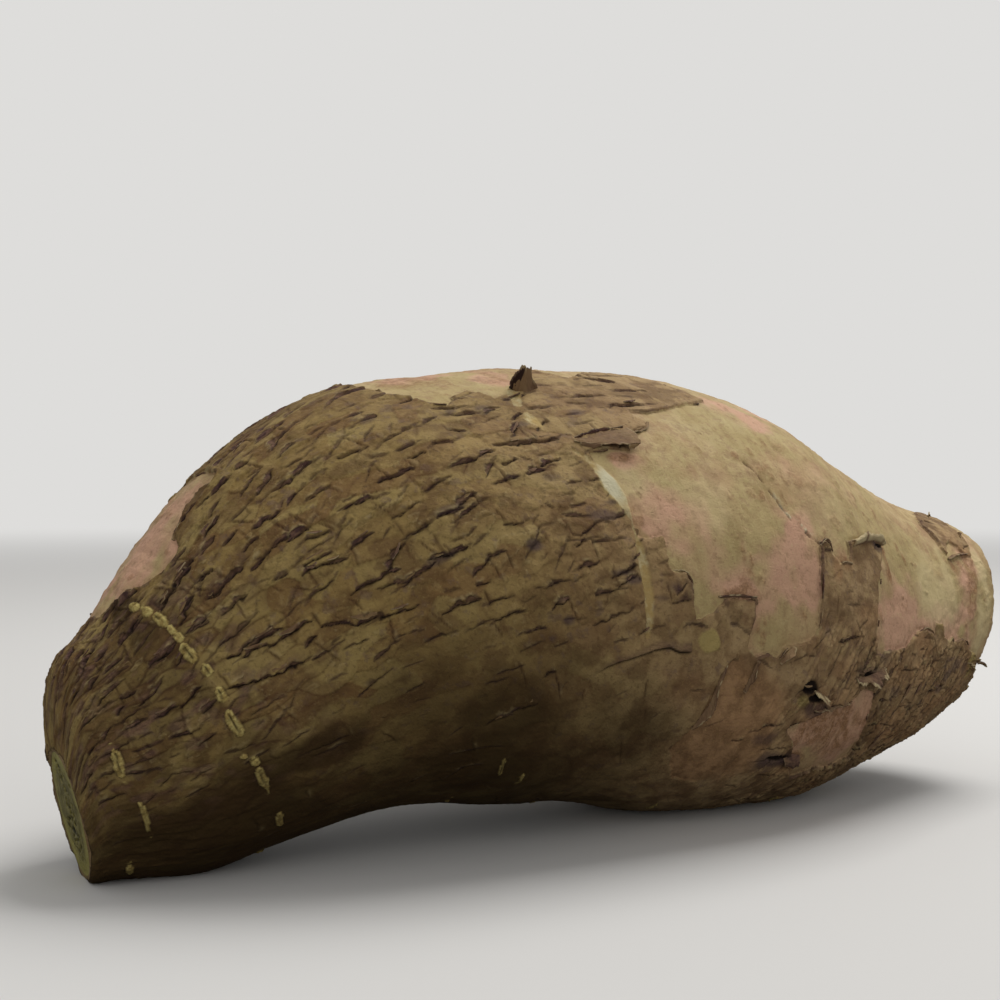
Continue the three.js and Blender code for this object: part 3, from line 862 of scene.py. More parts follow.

# Thin brown film that stays on torn rind, blushes of pink in the rind,
# purple-blue bruises, painted shade low on the bark and paler cork by its
# margins: (mm along, degrees, half length, half width round in mm, strength).
FILMS = [
    (66, -30, 5, 3, 0.6), (80, -27, 6, 3, 0.6), (88, -32, 6, 4, 0.7),
    (74, -41, 6, 4, 0.7), (95, -36, 5, 5, 0.7), (62, -44, 5, 4, 0.6), (96, 44, 4, 4, 0.35),
    (84, -46, 7, 4, 0.6), (50, -56, 9, 4, 0.5), (48, 2, 5, 3, 0.5), (60, -14, 5, 3, 0.5),
    (74, -14, 6, 3, 0.45), (40, -14, 4, 3, 0.45), (-4, -22, 6, 5, 0.4), (-14, 2, 5, 3, 0.3),
    (43, -33, 13, 10, 0.85), (36, -44, 6, 5, 0.8), (57.6, 18, 1.6, 5.5, 1.0),
    (57.2, 24, 1.4, 3, 0.9), (64, 29.6, 2.0, 3.4, 0.9), (66, 26, 0.9, 2.4, 0.7),
    (19.5, 28, 3.2, 2.2, 0.6),
    (32, 35, 4, 1.8, 0.55), (38, 35.4, 4, 1.8, 0.5), (18, 39, 1.2, 1.6, 0.7), (22.4, 41.4, 1.4, 1.6, 0.7),
    (32, 45.8, 1.6, 1.6, 0.5), (93, 31, 5, 3, 0.8), (44, 36, 8, 3, 0.3), (78, -38, 9, 8, 0.5),
    (96, -22, 5, 7, 0.5), (-30, 80, 10, 9, 0.6), (-12, 84, 8, 8, 0.5),
    (98.4, 28, 3.0, 7, 0.75), (96.6, 13, 2.4, 7, 0.6),
    (93.4, -5, 1.8, 5, 0.5), (46, 62, 9, 3, 0.3), (72, -1.4, 4.4, 3.4, 0.75), (9, 24, 5, 3, 0.25),
    (82, 26, 5, 2, 0.35), (37, 12, 1.6, 3.4, 0.8), (40, 14.4, 2.4, 2, 0.8), (-18, 72, 5, 4, 0.6),
    # Painted shade: the spot at (-8, 36.6) below is a shadow under the overhanging flake.
    (9, 1.6, 5, 1.6, 0.7), (-8, 36.6, 3.4, 1.2, 0.9),
]
BLUSHES = [
    (-5.5, 19.4, 5.5, 6.5, 1.0), (-2, 17, 6.5, 6.5, 0.85), (2, 10, 8, 6, 0.6), (22, 9, 10, 8, 0.8),
    (8, 33, 9, 5, 0.25), (32, 57, 7, 4, 1.0), (26, 62, 8, 5, 0.8), (38, 64, 12, 5, 0.6),
    (-27, 84, 9, 6, 1.0), (-18, 73, 4, 6, 1.0), (-80, 85, 14, 14, 1.0), (62, 4, 8, 10, 1.0),
    (58, 18, 4, 8, 0.8), (80, 4, 10, 5, 0.8), (95, 16, 5, 10, 0.9), (101, 44, 7, 9, 0.8),
    # Painted shade: the blush at (-8, 35.6) below is a reddish shadow under the overhanging flake.
    (-8, 35.6, 4, 2.5, 1.0), (8, 2.6, 6, 2.4, 1.0), (72, 3, 5, 2.5, 0.9), (24, 24, 3, 2, 0.6),
    (45, -28, 9, 7, 0.6), (20, 92, 20, 12, 0.5), (60, 100, 20, 12, 0.4), (85, 120, 14, 14, 0.5),
    (13, -20, 8, 6, 0.7), (19, -38, 5, 6, 0.6), (28, 14, 5, 8, 0.9), (57, 22, 5, 8, 0.6),
    (42, 40, 10, 4, 0.4), (14, 8, 13, 8, 0.75), (-78, 84, 12, 12, 1.0), (45, -32, 14, 12, 0.9),
]
BRUISES = [
    (-33.5, 16, 1.5, 1.3, 1.2), (-31.5, -2.5, 1.4, 1.0, 0.9), (-35.5, -6.5, 0.9, 0.8, 0.7),
    (-10.5, 51.5, 1.2, 0.9, 0.8), (-10, 0.9, 1.8, 0.7, 0.6), (-17.6, 7.4, 2.2, 0.6, 0.9),
    (-22, 49, 1.6, 0.9, 0.7), (-32, 57, 1.2, 1.0, 0.8), (-26.5, 56.5, 1.8, 1.2, 0.7),
    (-44.4, 62, 1.3, 0.9, 0.6), (-30.6, 33, 1.4, 0.8, 0.5), (-24, 31.6, 1.6, 0.7, 0.5),
    (86, -17.6, 2.0, 1.2, 0.8), (-48.6, 18.6, 2.2, 0.7, 0.8), (-44, 29, 3, 0.8, 0.8),
    # Painted shade: the spot at (50.5, -13.6) below is the dark purple shade by a low flake.
    (53.5, 24.4, 2.6, 1.3, 0.9), (50.5, -13.6, 4.4, 2.2, 0.9), (90, -15, 2.4, 1.4, 0.7),
    (-10.6, 17.8, 1.6, 1.6, 0.5), (-16.8, 21.2, 2.6, 0.8, 0.8),
    (-14.6, 24.4, 1.5, 0.6, 0.8), (-15.6, 5.4, 2.4, 0.9, 0.9),
    (-7, 3.4, 2.2, 1.2, 0.5), (28, -42.6, 5.4, 2.4, 0.9), (36, -26.4, 4.4, 1.8, 0.8),
    (22, -35, 3.4, 1.6, 0.6), (54, -8, 2.6, 2.6, 0.6),
    (84, -24, 2.6, 1.2, 0.6), (62, -20, 2.0, 1.4, 0.5), (95, -20, 1.6, 1.6, 0.6),
]
# Spots of painted shade, most of them low on the root and round the neck.
PAINTED_SHADE_SPOTS = [
    (-78, -16, 8, 4, 0.5), (-46, -24, 9, 9, 0.30), (-60, -8, 10, 8, 0.20), (-88, -6, 5, 8, 0.35),
    (-52, -42, 10, 8, 0.4), (-92, -30, 12, 12, 0.5), (-104, -10, 4, 12, 0.3), (-12, -34, 10, 9, 0.25),
    (58, -34, 4, 12, 0.3), (-91, 56, 3, 5, 0.7), (-90, 76, 2.5, 4, 0.9), (-97, 36, 13, 20, 0.50),
    (-89, 20, 3, 6, 0.5), (-86, -17, 3, 4, 0.4), (30, -22, 3, 3, 0.6), (34, -42, 4, 3, 0.6),
]
PALE_RIM = [
    (-12.9, 29.5, 1.7, 5.4, 0.9), (104.4, 22, 2.2, 14, 1.0), (101.6, -2, 2.2, 10, 1.0),
    (99.4, -17, 2, 5, 0.8),
    (79, 17, 8, 9, 0.8), (86, 24, 3, 8, 0.8), (-8.6, 30, 3.0, 3.6, 0.5), (28.6, -23.6, 1.6, 1.2, 0.5),
    (40, 30, 8, 8, 0.35), (66, 60, 10, 7, 0.35), (6, 24, 5, 6, 0.4),
]


def stain(places, soft):
    """Soft-edged spots at the given places, together."""
    total = np.zeros_like(height)
    for place, degrees, half_long, half_round, strength in places:
        window, x, y, _ = spot(place, degrees, half_long * 1.9, half_round * 1.9)
        away = np.sqrt((x / half_long) ** 2 + (y / half_round) ** 2) + soft * broad[window]
        raise_to(total, strength * (1 - eased(away, 0.45, 1.35)), window)
    return total


# A broad unevenness breaks up the stains' edges. Flecks of film lie all over
# the rind, and the low side of the root is darkened with painted shade.
broad = 0.6 * grain(41, 9, 9) + 0.4 * grain(42, 3, 3)
raise_to(film, stain(FILMS, 0.30))
flecks = grain(84, 3.2, 4.2) + 0.55 * grain(85, 1.0, 1.3)
raise_to(film, (1 - on_bark) * 0.50 * eased(flecks, 1.35, 2.3))
blush = stain(BLUSHES, 0.35) * (0.85 + 0.18 * grain(40, 4, 4)) + 0.10 * grain(43, 14, 10)
blush += 0.28 * eased(-round_grid, -22, 4) * eased(along_grid, -4, 6)
bruise = 0.9 * np.minimum(stain(BRUISES, 0.35), 1)
# Painted shade: the spots listed above, and the low side of the root darkened, less toward the tail.
lowness = eased(-np.sin(np.radians(round_grid)), -0.42, 0.80)
damp = np.clip(stain(PAINTED_SHADE_SPOTS, 0.35) + 0.80 * lowness * (1 - 0.78 * eased(along_grid, -44, 12))
               + 0.08 * broad, 0, 1)
# The rind has faint growth rings and is finely dimpled. The bark is grainier.
growth_rings = grain(44, 1.1, 34) * 0.6 + grain(45, 3.2, 50) * 0.4
height += (1 - on_bark) * (0.04 * growth_rings + 0.05 * grain(46, 2.2, 2.2) + 0.02 * grain(50, 1, 1))
height += on_bark * (0.030 * grain(47, 1.6, 1.2) + 0.015 * grain(48, 0.8, 0.8))
# Small hollows by the torn margins, darkened with painted shade, and their depth in mm.
HOLLOW_DEPTH = 0.45
HOLLOWS = [(30.0, -19.8, 2.0, 1.3, 1.0), (33.4, -22.6, 2.2, 0.8, 0.9), (22.6, -12.2, 1.3, 0.8, 0.9),
           (50, -14.8, 3.4, 0.9, 0.9), (29, -41.8, 3.4, 0.9, 0.8), (99, -25, 1.2, 1.0, 0.8),
           (54.6, 25.4, 1.8, 0.8, 0.9)]
hollow = eased(stain(HOLLOWS, 0.3), 0.30, 0.62)
height -= HOLLOW_DEPTH * hollow
# On the rind the film holds on as scraps, with an edge that can be felt.
stuck = eased(film * (1 + 0.4 * grain(49, 1.2, 2.4)), 0.22, 0.46) * (1 - on_bark)
height += 0.12 * stuck
film = np.where(on_bark > 0.5, film, film * (0.25 + 0.75 * stuck))
# Painted shade in the hollows.
raise_to(groove, hollow)
# One smooth yellowish spot on the near side.
YELLOW_SPOT = [(0.6, -9.8, 2.9, 2.9, 1.0)]
yellow_spot = 0.85 * eased(stain(YELLOW_SPOT, 0.30), 0.25, 0.65)
height = height * (1 - 0.8 * yellow_spot) + 0.1 * yellow_spot
wipe(yellow_spot, ..., groove, band)
pale = np.maximum(0.9 * yellow_spot, stain(PALE_RIM, 0.30))

# The skin's mesh: every ring of the form, pushed in and out by its marks, and
# at each end a few rings more that turn in over the rim of the broken face.
RIMS = (0.985, 0.965, 0.945, 0.92)
fields = {"bare": bare, "groove": groove, "band": band, "cork": cork, "scar": scar,
          "film": film, "blush": blush, "bruise": bruise, "damp": damp, "tone": tone,
          "chips": chips, "reddish": reddish, "crumble": crumble, "latex": latex,
          "pale": pale}


def axis_at(section):
    """The way that a section of the root faces, toward the tail."""
    lean, swing = math.radians(section[2]), math.radians(section[3])
    return np.array([math.cos(lean) * math.cos(swing), 0.0, math.sin(lean)])


def ring_within(section, share, degrees):
    """A ring of points on a section, drawn in to a share of its size."""
    smaller = section.copy()
    smaller[4:8] *= share
    return on_form(np.repeat(smaller[None], len(degrees), 0), degrees)


def rim_rings(section, sign, dome):
    """Rings across the outer part of the face at one end."""
    return [ring_within(section, share, ROUND) + sign * dome * (1 - share ** 2) * axis_at(section)
            for share in RIMS]


# The skin's own relief fades out over the first rings of each rim.
RIM_FADE, TAIL_DOME = 3, 1.2
skin = form + outward * height[..., None] + hoop * slide[..., None]
neck_rim = rim_rings(ring_sections[0], -1, 0.0)
tail_rim = rim_rings(ring_sections[-1], 1, TAIL_DOME)
for rim, end in ((neck_rim, 0), (tail_rim, -1)):
    for k, points in enumerate(rim[:RIM_FADE]):
        points += outward[end] * (height[end] * (1 - k / RIM_FADE))[:, None]
skin = np.concatenate([np.array(neck_rim)[::-1], skin, np.array(tail_rim)])
# The rims are rind, but for the neck's outermost ring, and darker at the neck,
# where the rind's cut ring shows as a brown line.
extra = len(RIMS)
for name, field in fields.items():
    head, foot = np.repeat(field[:1], extra, 0), np.repeat(field[-1:], extra, 0)
    if name == "groove":
        head = head * 0 + 0.6
    if name == "bare":
        head, foot = head * 0 + 0.6, foot * 0 + 2.0
        head[-1] = -0.3
    fields[name] = np.concatenate([head, field, foot])
# No mark may reach the faces of the solid part's own box.
BOX_GAP = 0.01
lowest, highest = np.array(CAD_BOX) / MM + [[BOX_GAP], [-BOX_GAP]]
skin = np.clip(skin, lowest, highest)
rows = len(skin)


def mesh_of(name, points, corners, sides):
    """A mesh from arrays of points and of equal-sided faces."""
    mesh = bpy.data.meshes.new(name)
    mesh.vertices.add(len(points))
    mesh.vertices.foreach_set("co", np.ascontiguousarray(points, np.float32).ravel())
    mesh.loops.add(len(corners) * sides)
    mesh.loops.foreach_set("vertex_index", np.ascontiguousarray(corners, np.int32).ravel())
    mesh.polygons.add(len(corners))
    mesh.polygons.foreach_set("loop_start", np.arange(0, len(corners) * sides, sides, dtype=np.int32))
    mesh.update(calc_edges=True)
    return mesh


def save_field(mesh, name, values):
    """A value at each point of a mesh, for its material to read."""
    values = np.ascontiguousarray(values, np.float32)
    kind = "FLOAT_VECTOR" if values.ndim == 2 else "FLOAT"
    made = mesh.attributes.new(name, kind, "POINT")
    made.data.foreach_set("vector" if values.ndim == 2 else "value", values.ravel())


index = np.arange(rows * STEPS_ROUND).reshape(rows, STEPS_ROUND)
beside = np.roll(index, -1, 1)
quads = np.stack([index[:-1], beside[:-1], beside[1:], index[1:]], -1).reshape(-1, 4)
whole = mesh_of("whole_skin", skin.reshape(-1, 3) * MM, quads, 4)
turns = np.radians(np.repeat(ROUND[None], rows, 0)).ravel()
save_field(whole, "row", np.repeat(np.arange(rows), STEPS_ROUND).astype(float))
save_field(whole, "cosine", np.cos(turns))
save_field(whole, "sine", np.sin(turns))
whole_skin = into_scene("whole_skin", whole)
# The mesh is thinned to this many triangles before it is split into pieces.
SKIN_FACES = 720000
thin = whole_skin.modifiers.new("thin", "DECIMATE")
thin.ratio, thin.use_collapse_triangulate = SKIN_FACES / (2 * len(quads)), True
cast = bpy.data.meshes.new_from_object(
    whole_skin.evaluated_get(bpy.context.evaluated_depsgraph_get()))
bpy.data.objects.remove(whole_skin)


def read_out(parts, name, numbers=1, kind=np.float32):
    """What a mesh's points or corners hold, as an array with so many numbers for each."""
    values = np.zeros(len(parts) * numbers, kind)
    parts.foreach_get(name, values)
    return values.reshape(-1, numbers) if numbers > 1 else values


def read_field(mesh, name):
    """The values kept at a mesh's points."""
    return read_out(mesh.attributes[name].data, "value").astype(float)


points = np.clip(read_out(cast.vertices, "co", 3).astype(float), lowest * MM, highest * MM)
normals = read_out(cast.vertex_normals, "vector", 3)
corners = read_out(cast.loops, "vertex_index", kind=np.int32).reshape(-1, 3)
row = np.clip(read_field(cast, "row"), 0, rows - 1)
turn = np.arctan2(read_field(cast, "sine"), read_field(cast, "cosine"))
column = (np.degrees(turn) + 180) * STEPS_ROUND / 360


def at_points(field):
    """A field's value at each kept point of the skin."""
    r0 = np.minimum(row.astype(int), rows - 2)
    c0 = np.floor(column).astype(int)
    dr, dc = row - r0, column - c0
    c0, c1 = c0 % STEPS_ROUND, (c0 + 1) % STEPS_ROUND
    return ((1 - dr) * ((1 - dc) * field[r0, c0] + dc * field[r0, c1])
            + dr * ((1 - dc) * field[r0 + 1, c0] + dc * field[r0 + 1, c1]))


# Growth coordinates for the materials, in mm: the run along the root, and the
# place round it at the root's radius there.
far_along = np.concatenate([np.full(extra, ALONG[0]), ALONG, np.full(extra, ALONG[-1])])
radius = np.degrees(MM_A_DEGREE)
radius = np.concatenate([radius[0] * np.array(RIMS)[::-1], radius, radius[-1] * np.array(RIMS)])
run_along = np.concatenate([[0], np.cumsum(np.where(
    np.abs(np.diff(far_along)) > 0, STEP_ALONG, np.abs(np.diff(radius))))])
here_radius, here_run = (np.interp(row, np.arange(rows), v) for v in (radius, run_along))
growth = np.stack([here_run, here_radius * np.cos(turn), here_radius * np.sin(turn)], -1)
kept = {name: at_points(field) for name, field in fields.items()}


def attribute(tree, name, output="Fac"):
    """The values kept at the mesh's points."""
    return add(tree, "ShaderNodeAttribute", attribute_name=name).outputs[output]


def mottle(tree, where, scale, detail=3.0, rough=0.55, stretch=None):
    """Noise at places on the skin; stretch is longer along or round."""
    if stretch:
        where = add(tree, "ShaderNodeVectorMath", {0: where, 1: stretch},
                    operation="MULTIPLY").outputs[0]
    return add(tree, "ShaderNodeTexNoise",
               {"Vector": where, "Scale": scale, "Detail": detail, "Roughness": rough}).outputs[0]


def layered(tree, colour, *layers):
    """A colour with others laid over it in turn. A layer is its mask, the two values that the
    mask rises between, or None for as it is, the most that it covers, and its colour."""
    for mask, rise, most, tone in layers:
        if rise:
            mask = between(tree, mask, *rise, 0.0, most)
        elif most != 1.0:
            mask = maths(tree, "MULTIPLY", mask, most)
        colour = blend(tree, mask, colour, tone)
    return colour


def group_tree(name, values, gives):
    """A shader node group that takes growth coordinates and some values by name."""
    tree = bpy.data.node_groups.new(name, "ShaderNodeTree")
    tree.interface.new_socket("Growth", in_out="INPUT", socket_type="NodeSocketVector")
    for label in values:
        tree.interface.new_socket(label, in_out="INPUT", socket_type="NodeSocketFloat")
    for label, kind in gives.items():
        tree.interface.new_socket(label, in_out="OUTPUT", socket_type=kind)
    return tree, tree.nodes.new("NodeGroupInput").outputs, tree.nodes.new("NodeGroupOutput")


def place_group(tree, group, **given):
    """A node group set into a material. Inputs that aren't given read the attributes of
    their own names."""
    for item in group.interface.items_tree:
        if item.in_out == "INPUT" and item.name not in given:
            output = "Vector" if item.name == "Growth" else "Fac"
            given[item.name] = attribute(tree, item.name.lower(), output)
    return add(tree, "ShaderNodeGroup", given, node_tree=group).outputs


def dull_surface(tree, colour, roughness, relief_from, gloss, strength=0.7, relief_m=0.0005):
    """The end of a material: a dull surface with a fine relief."""
    relief = add(tree, "ShaderNodeBump",
                 {"Strength": strength, "Distance": relief_m, "Height": relief_from})
    shader = add(tree, "ShaderNodeBsdfPrincipled", {
        "Base Color": colour, "Roughness": roughness, "Normal": relief.outputs[0],
        "Specular IOR Level": gloss})
    add(tree, "ShaderNodeOutputMaterial", {"Surface": shader.outputs[0]})


SURFACE_OUTPUTS = {"Colour": "NodeSocketColor", "Roughness": "NodeSocketFloat",
                   "Height": "NodeSocketFloat"}
bark_group, takes, gives = group_tree(
    "bark_plates", ["Tone", "Groove", "Band", "Damp", "Bruise", "Chips", "Film", "Reddish",
                    "Crumble", "Pale"], SURFACE_OUTPUTS)
tree = bark_group
where = takes["Growth"]
wide = mottle(tree, where, 0.05, 4.0, 0.6)
middle = mottle(tree, where, 0.21, 4.0, 0.56)
fine = mottle(tree, where, 1.3, 4.0, 0.60)
fibre = mottle(tree, where, 0.9, 4.0, 0.60, (0.30, 1.5, 1.5))
dust = mottle(tree, where, 4.0, 2.0, 0.6)
clouds = mottle(tree, where, 0.34, 4.0, 0.62)
run_mm = add(tree, "ShaderNodeSeparateXYZ", {0: where}).outputs[0]
tail_tone = layered(tree, paint(172, 144, 106), (middle, (0.40, 0.60), 1.0, paint(144, 116, 84)))
film_tone = layered(tree, paint(167, 130, 93), (middle, (0.40, 0.62), 1.0, paint(136, 104, 72)),
                    (fine, (0.52, 0.70), 0.5, paint(168, 134, 88)))
torn_tone = layered(tree, paint(80, 57, 54), (fibre, (0.42, 0.60), 1.0, paint(112, 84, 70)))
patchy = maths(tree, "MULTIPLY", takes["Band"], between(tree, middle, 0.30, 0.55, 0.65, 1.0))
colour = layered(
    tree, paint(142, 118, 70),
    (middle, (0.40, 0.60), 1.0, paint(119, 94, 56)),
    (wide, (0.42, 0.60), 0.6, paint(129, 105, 64)),
    (takes["Tone"], (0.4, 1.0), 0.65, paint(153, 133, 82)),
    (takes["Tone"], (0.35, 0.0), 0.65, paint(118, 88, 54)),
    (run_mm, (68, 150), 0.85, tail_tone),
    (clouds, (0.56, 0.68), 0.45, paint(104, 84, 76)),
    (clouds, (0.44, 0.32), 0.35, paint(162, 138, 92)),
    # Crumbled zones, and painted shade beside the cracks, in darker brown.
    (takes["Crumble"], None, 0.62, paint(92, 66, 42)),
    (fine, (0.55, 0.70), 0.32, paint(158, 138, 88)),
    (fine, (0.45, 0.30), 0.40, paint(84, 60, 35)),
    (dust, (0.66, 0.76), 0.35, paint(160, 142, 96)),
    (takes["Film"], None, 1.0, film_tone),
    (takes["Reddish"], None, 0.70, paint(92, 56, 36)),
    # Painted shade, dark brown.
    (takes["Damp"], (0.0, 1.0), 0.92, paint(54, 38, 17)),
    (takes["Pale"], None, 0.95, paint(172, 153, 94)),
    (patchy, None, 1.0, torn_tone),
    (takes["Bruise"], None, 0.82, paint(64, 50, 58)),
    # Pale chips, partly a painted highlight on lit edges.
    (takes["Chips"], None, 1.0, paint(176, 157, 112)),
    # Painted shade, near black, in grooves, cracks and slits.
    (takes["Groove"], None, 1.0, paint(28, 18, 12)))
tree.links.new(colour, gives.inputs["Colour"])
tree.links.new(between(tree, fine, 0.3, 0.7, 0.78, 0.92), gives.inputs["Roughness"])
rise = maths(tree, "ADD", maths(tree, "MULTIPLY", fine, 0.7), maths(tree, "MULTIPLY", dust, 0.15))
threads = maths(tree, "MULTIPLY", maths(tree, "MULTIPLY", fibre, takes["Band"]), 1.2)
tree.links.new(maths(tree, "ADD", rise, threads), gives.inputs["Height"])

rind_group, takes, gives = group_tree("bare_rind", ["Blush", "Film", "Pale", "Latex"], SURFACE_OUTPUTS)
tree = rind_group
where = takes["Growth"]
wide = mottle(tree, where, 0.045, 3.0, 0.55)
middle = mottle(tree, where, 0.16, 5.0, 0.62)
blotch = mottle(tree, where, 0.50, 5.0, 0.68)
fine = mottle(tree, where, 2.0, 4.0, 0.66)
round_streaks = mottle(tree, where, 0.42, 5.0, 0.6, (1.0, 0.09, 0.09))
cloud = mottle(tree, where, 0.11, 6.0, 0.70)
scraps = maths(tree, "MULTIPLY", takes["Film"], between(tree, blotch, 0.40, 0.56, 0.5, 1.0))
scrap_tone = layered(tree, paint(156, 116, 78), (fine, (0.4, 0.6), 1.0, paint(130, 96, 66)))
colour = layered(
    tree, paint(190, 166, 119),
    (middle, (0.36, 0.62), 1.0, paint(170, 143, 101)),
    (cloud, (0.48, 0.62), 0.70, paint(166, 131, 100)),
    (wide, (0.44, 0.58), 0.75, paint(176, 157, 108)),
    (wide, (0.46, 0.34), 0.6, paint(180, 150, 110)),
    (round_streaks, (0.50, 0.68), 0.45, paint(154, 131, 88)),
    (round_streaks, (0.44, 0.30), 0.40, paint(194, 177, 126)),
    (takes["Blush"], (0.05, 0.95), 0.84, paint(203, 158, 132)),
    (blotch, (0.50, 0.66), 0.50, paint(152, 122, 90)),
    (blotch, (0.42, 0.28), 0.40, paint(192, 174, 126)),
    (fine, (0.56, 0.70), 0.28, paint(134, 104, 76)),
    (fine, (0.40, 0.26), 0.35, paint(200, 184, 140)),
    (scraps, None, 1.0, scrap_tone),
    (takes["Pale"], None, 0.8, paint(204, 185, 138)),
    (takes["Latex"], None, 1.0, paint(206, 196, 160)))
tree.links.new(colour, gives.inputs["Colour"])
tree.links.new(between(tree, middle, 0.3, 0.7, 0.62, 0.80), gives.inputs["Roughness"])
rise = maths(tree, "ADD", maths(tree, "MULTIPLY", fine, 0.26), maths(tree, "MULTIPLY", blotch, 0.55))
rise = maths(tree, "ADD", rise, maths(tree, "MULTIPLY", round_streaks, 0.12))
tree.links.new(rise, gives.inputs["Height"])

cork_group, takes, gives = group_tree(
    "cork_and_callus", ["Groove", "Damp", "Pale"],
    {"Cork": "NodeSocketColor", "Callus": "NodeSocketColor"})
tree = cork_group
crumbs = mottle(tree, takes["Growth"], 1.1, 5.0, 0.66)
golden = mottle(tree, takes["Growth"], 0.30, 2.0)
cork_tone = layered(
    tree, paint(200, 182, 114),
    (crumbs, (0.38, 0.62), 1.0, paint(160, 137, 80)),
    # Painted shade on the lenticels' cork.
    (takes["Damp"], None, 0.42, paint(84, 66, 30)),
    # Painted shade in the lenticels' slits and grooves.
    (takes["Groove"], None, 1.0, paint(44, 30, 16)))
callus = layered(
    tree, paint(198, 182, 138),
    (crumbs, (0.38, 0.62), 1.0, paint(174, 152, 104)),
    (golden, (0.42, 0.58), 0.8, paint(176, 148, 92)),
    (takes["Pale"], None, 1.0, paint(205, 198, 166)))
tree.links.new(cork_tone, gives.inputs["Cork"])
tree.links.new(callus, gives.inputs["Callus"])

skin_finish, tree = new_material("root_skin")
bark_parts, rind_parts, cork_parts = (
    place_group(tree, group) for group in (bark_group, rind_group, cork_group))
bark_share = between(tree, attribute(tree, "bare"), 0.10, -0.04)
on_rind = maths(tree, "SUBTRACT", 1.0, bark_share)
# Painted shade on the rind along grooves and torn margins, and at the neck the brown line of the rind's
# cut ring.
edge_shade = maths(tree, "MULTIPLY", attribute(tree, "groove"), on_rind)
colour = layered(
    tree, rind_parts["Colour"],
    (bark_share, None, 1.0, bark_parts["Colour"]),
    (attribute(tree, "scar"), None, 1.0, cork_parts["Callus"]),
    (attribute(tree, "cork"), None, 1.0, cork_parts["Cork"]),
    (edge_shade, None, 0.85, paint(72, 44, 30)))
roughness_mix, height_mix = (
    add(tree, "ShaderNodeMix", {0: bark_share, 2: rind_parts[key], 3: bark_parts[key]}).outputs[0]
    for key in ("Roughness", "Height"))
dull_surface(tree, colour, roughness_mix, height_mix, gloss=0.16)


UV_MARGIN = 0.004


def skin_piece(name, chosen):
    """One part of the skin as a piece of its own, shaded as part of the whole."""
    faces = corners[chosen]
    used, again = np.unique(faces.ravel(), return_inverse=True)
    mesh = mesh_of(name, points[used], again.reshape(-1, 3), 3)
    mesh.materials.append(skin_finish)
    save_field(mesh, "growth", growth[used])
    for label, values in kept.items():
        save_field(mesh, label, values[used])
    unrolled = mesh.uv_layers.new(name="OFBake")
    angle = np.degrees(turn)[used][again].reshape(-1, 3)
    angle = np.where(angle < angle.max(1, keepdims=True) - 180, angle + 360, angle).ravel()
    long_share = (row[used][again] - row[used].min()) / (row[used].max() - row[used].min())
    across = (angle - angle.min()) / (angle.max() - angle.min())
    spread = UV_MARGIN + (1 - 2 * UV_MARGIN) * np.stack([long_share, across], -1)
    unrolled.data.foreach_set("uv", spread.astype(np.float32).ravel())
    mesh.shade_smooth()
    mesh.normals_split_custom_set_from_vertices(normals[used])
    made = into_scene(name, mesh)
    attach(made, "root")


# A face counts as rind from this far inside the torn margin, in mm.
RIND_FROM = 0.08
face_bare = kept["bare"][corners].mean(1) > RIND_FROM
face_turn = np.degrees(np.arctan2(np.sin(turn)[corners].mean(1), np.cos(turn)[corners].mean(1)))
# The bark's four quarters and the rind's two sides, each from one angle to another.
BARK_PARTS = {"bark_near_top": (5, 90), "bark_near_belly": (-90, 5),
              "bark_far_belly": (-180, -90), "bark_far_top": (90, 180)}
RIND_PARTS = {"rind_near": (-90, 90), "rind_far": (90, 270)}
for name, (low, high) in BARK_PARTS.items():
    skin_piece(name, ~face_bare & (face_turn >= low) & (face_turn < high))
for name, (low, high) in RIND_PARTS.items():
    turned = np.where(face_turn < low, face_turn + 360, face_turn)
    skin_piece(name, face_bare & (turned >= low) & (turned < high))
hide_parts("cassava_root")

# ------------------------------------------------------------- the cut neck
# The neck was sawn from the stem: damp pale flesh inside a thin ring of rind,
# with short dark threads and one larger pore where its vessels were cut.
FACE_RINGS, FACE_POINTS = 64, 220
# How much of the section the flesh fills, how many waves roughen it, how deep
# its pores go, and how far it is set back behind the rim, the last two in mm.
FACE_SHARE, FACE_WAVES, PORE_DEPTH, SET_BACK = 0.93, 26, 0.7, 0.05


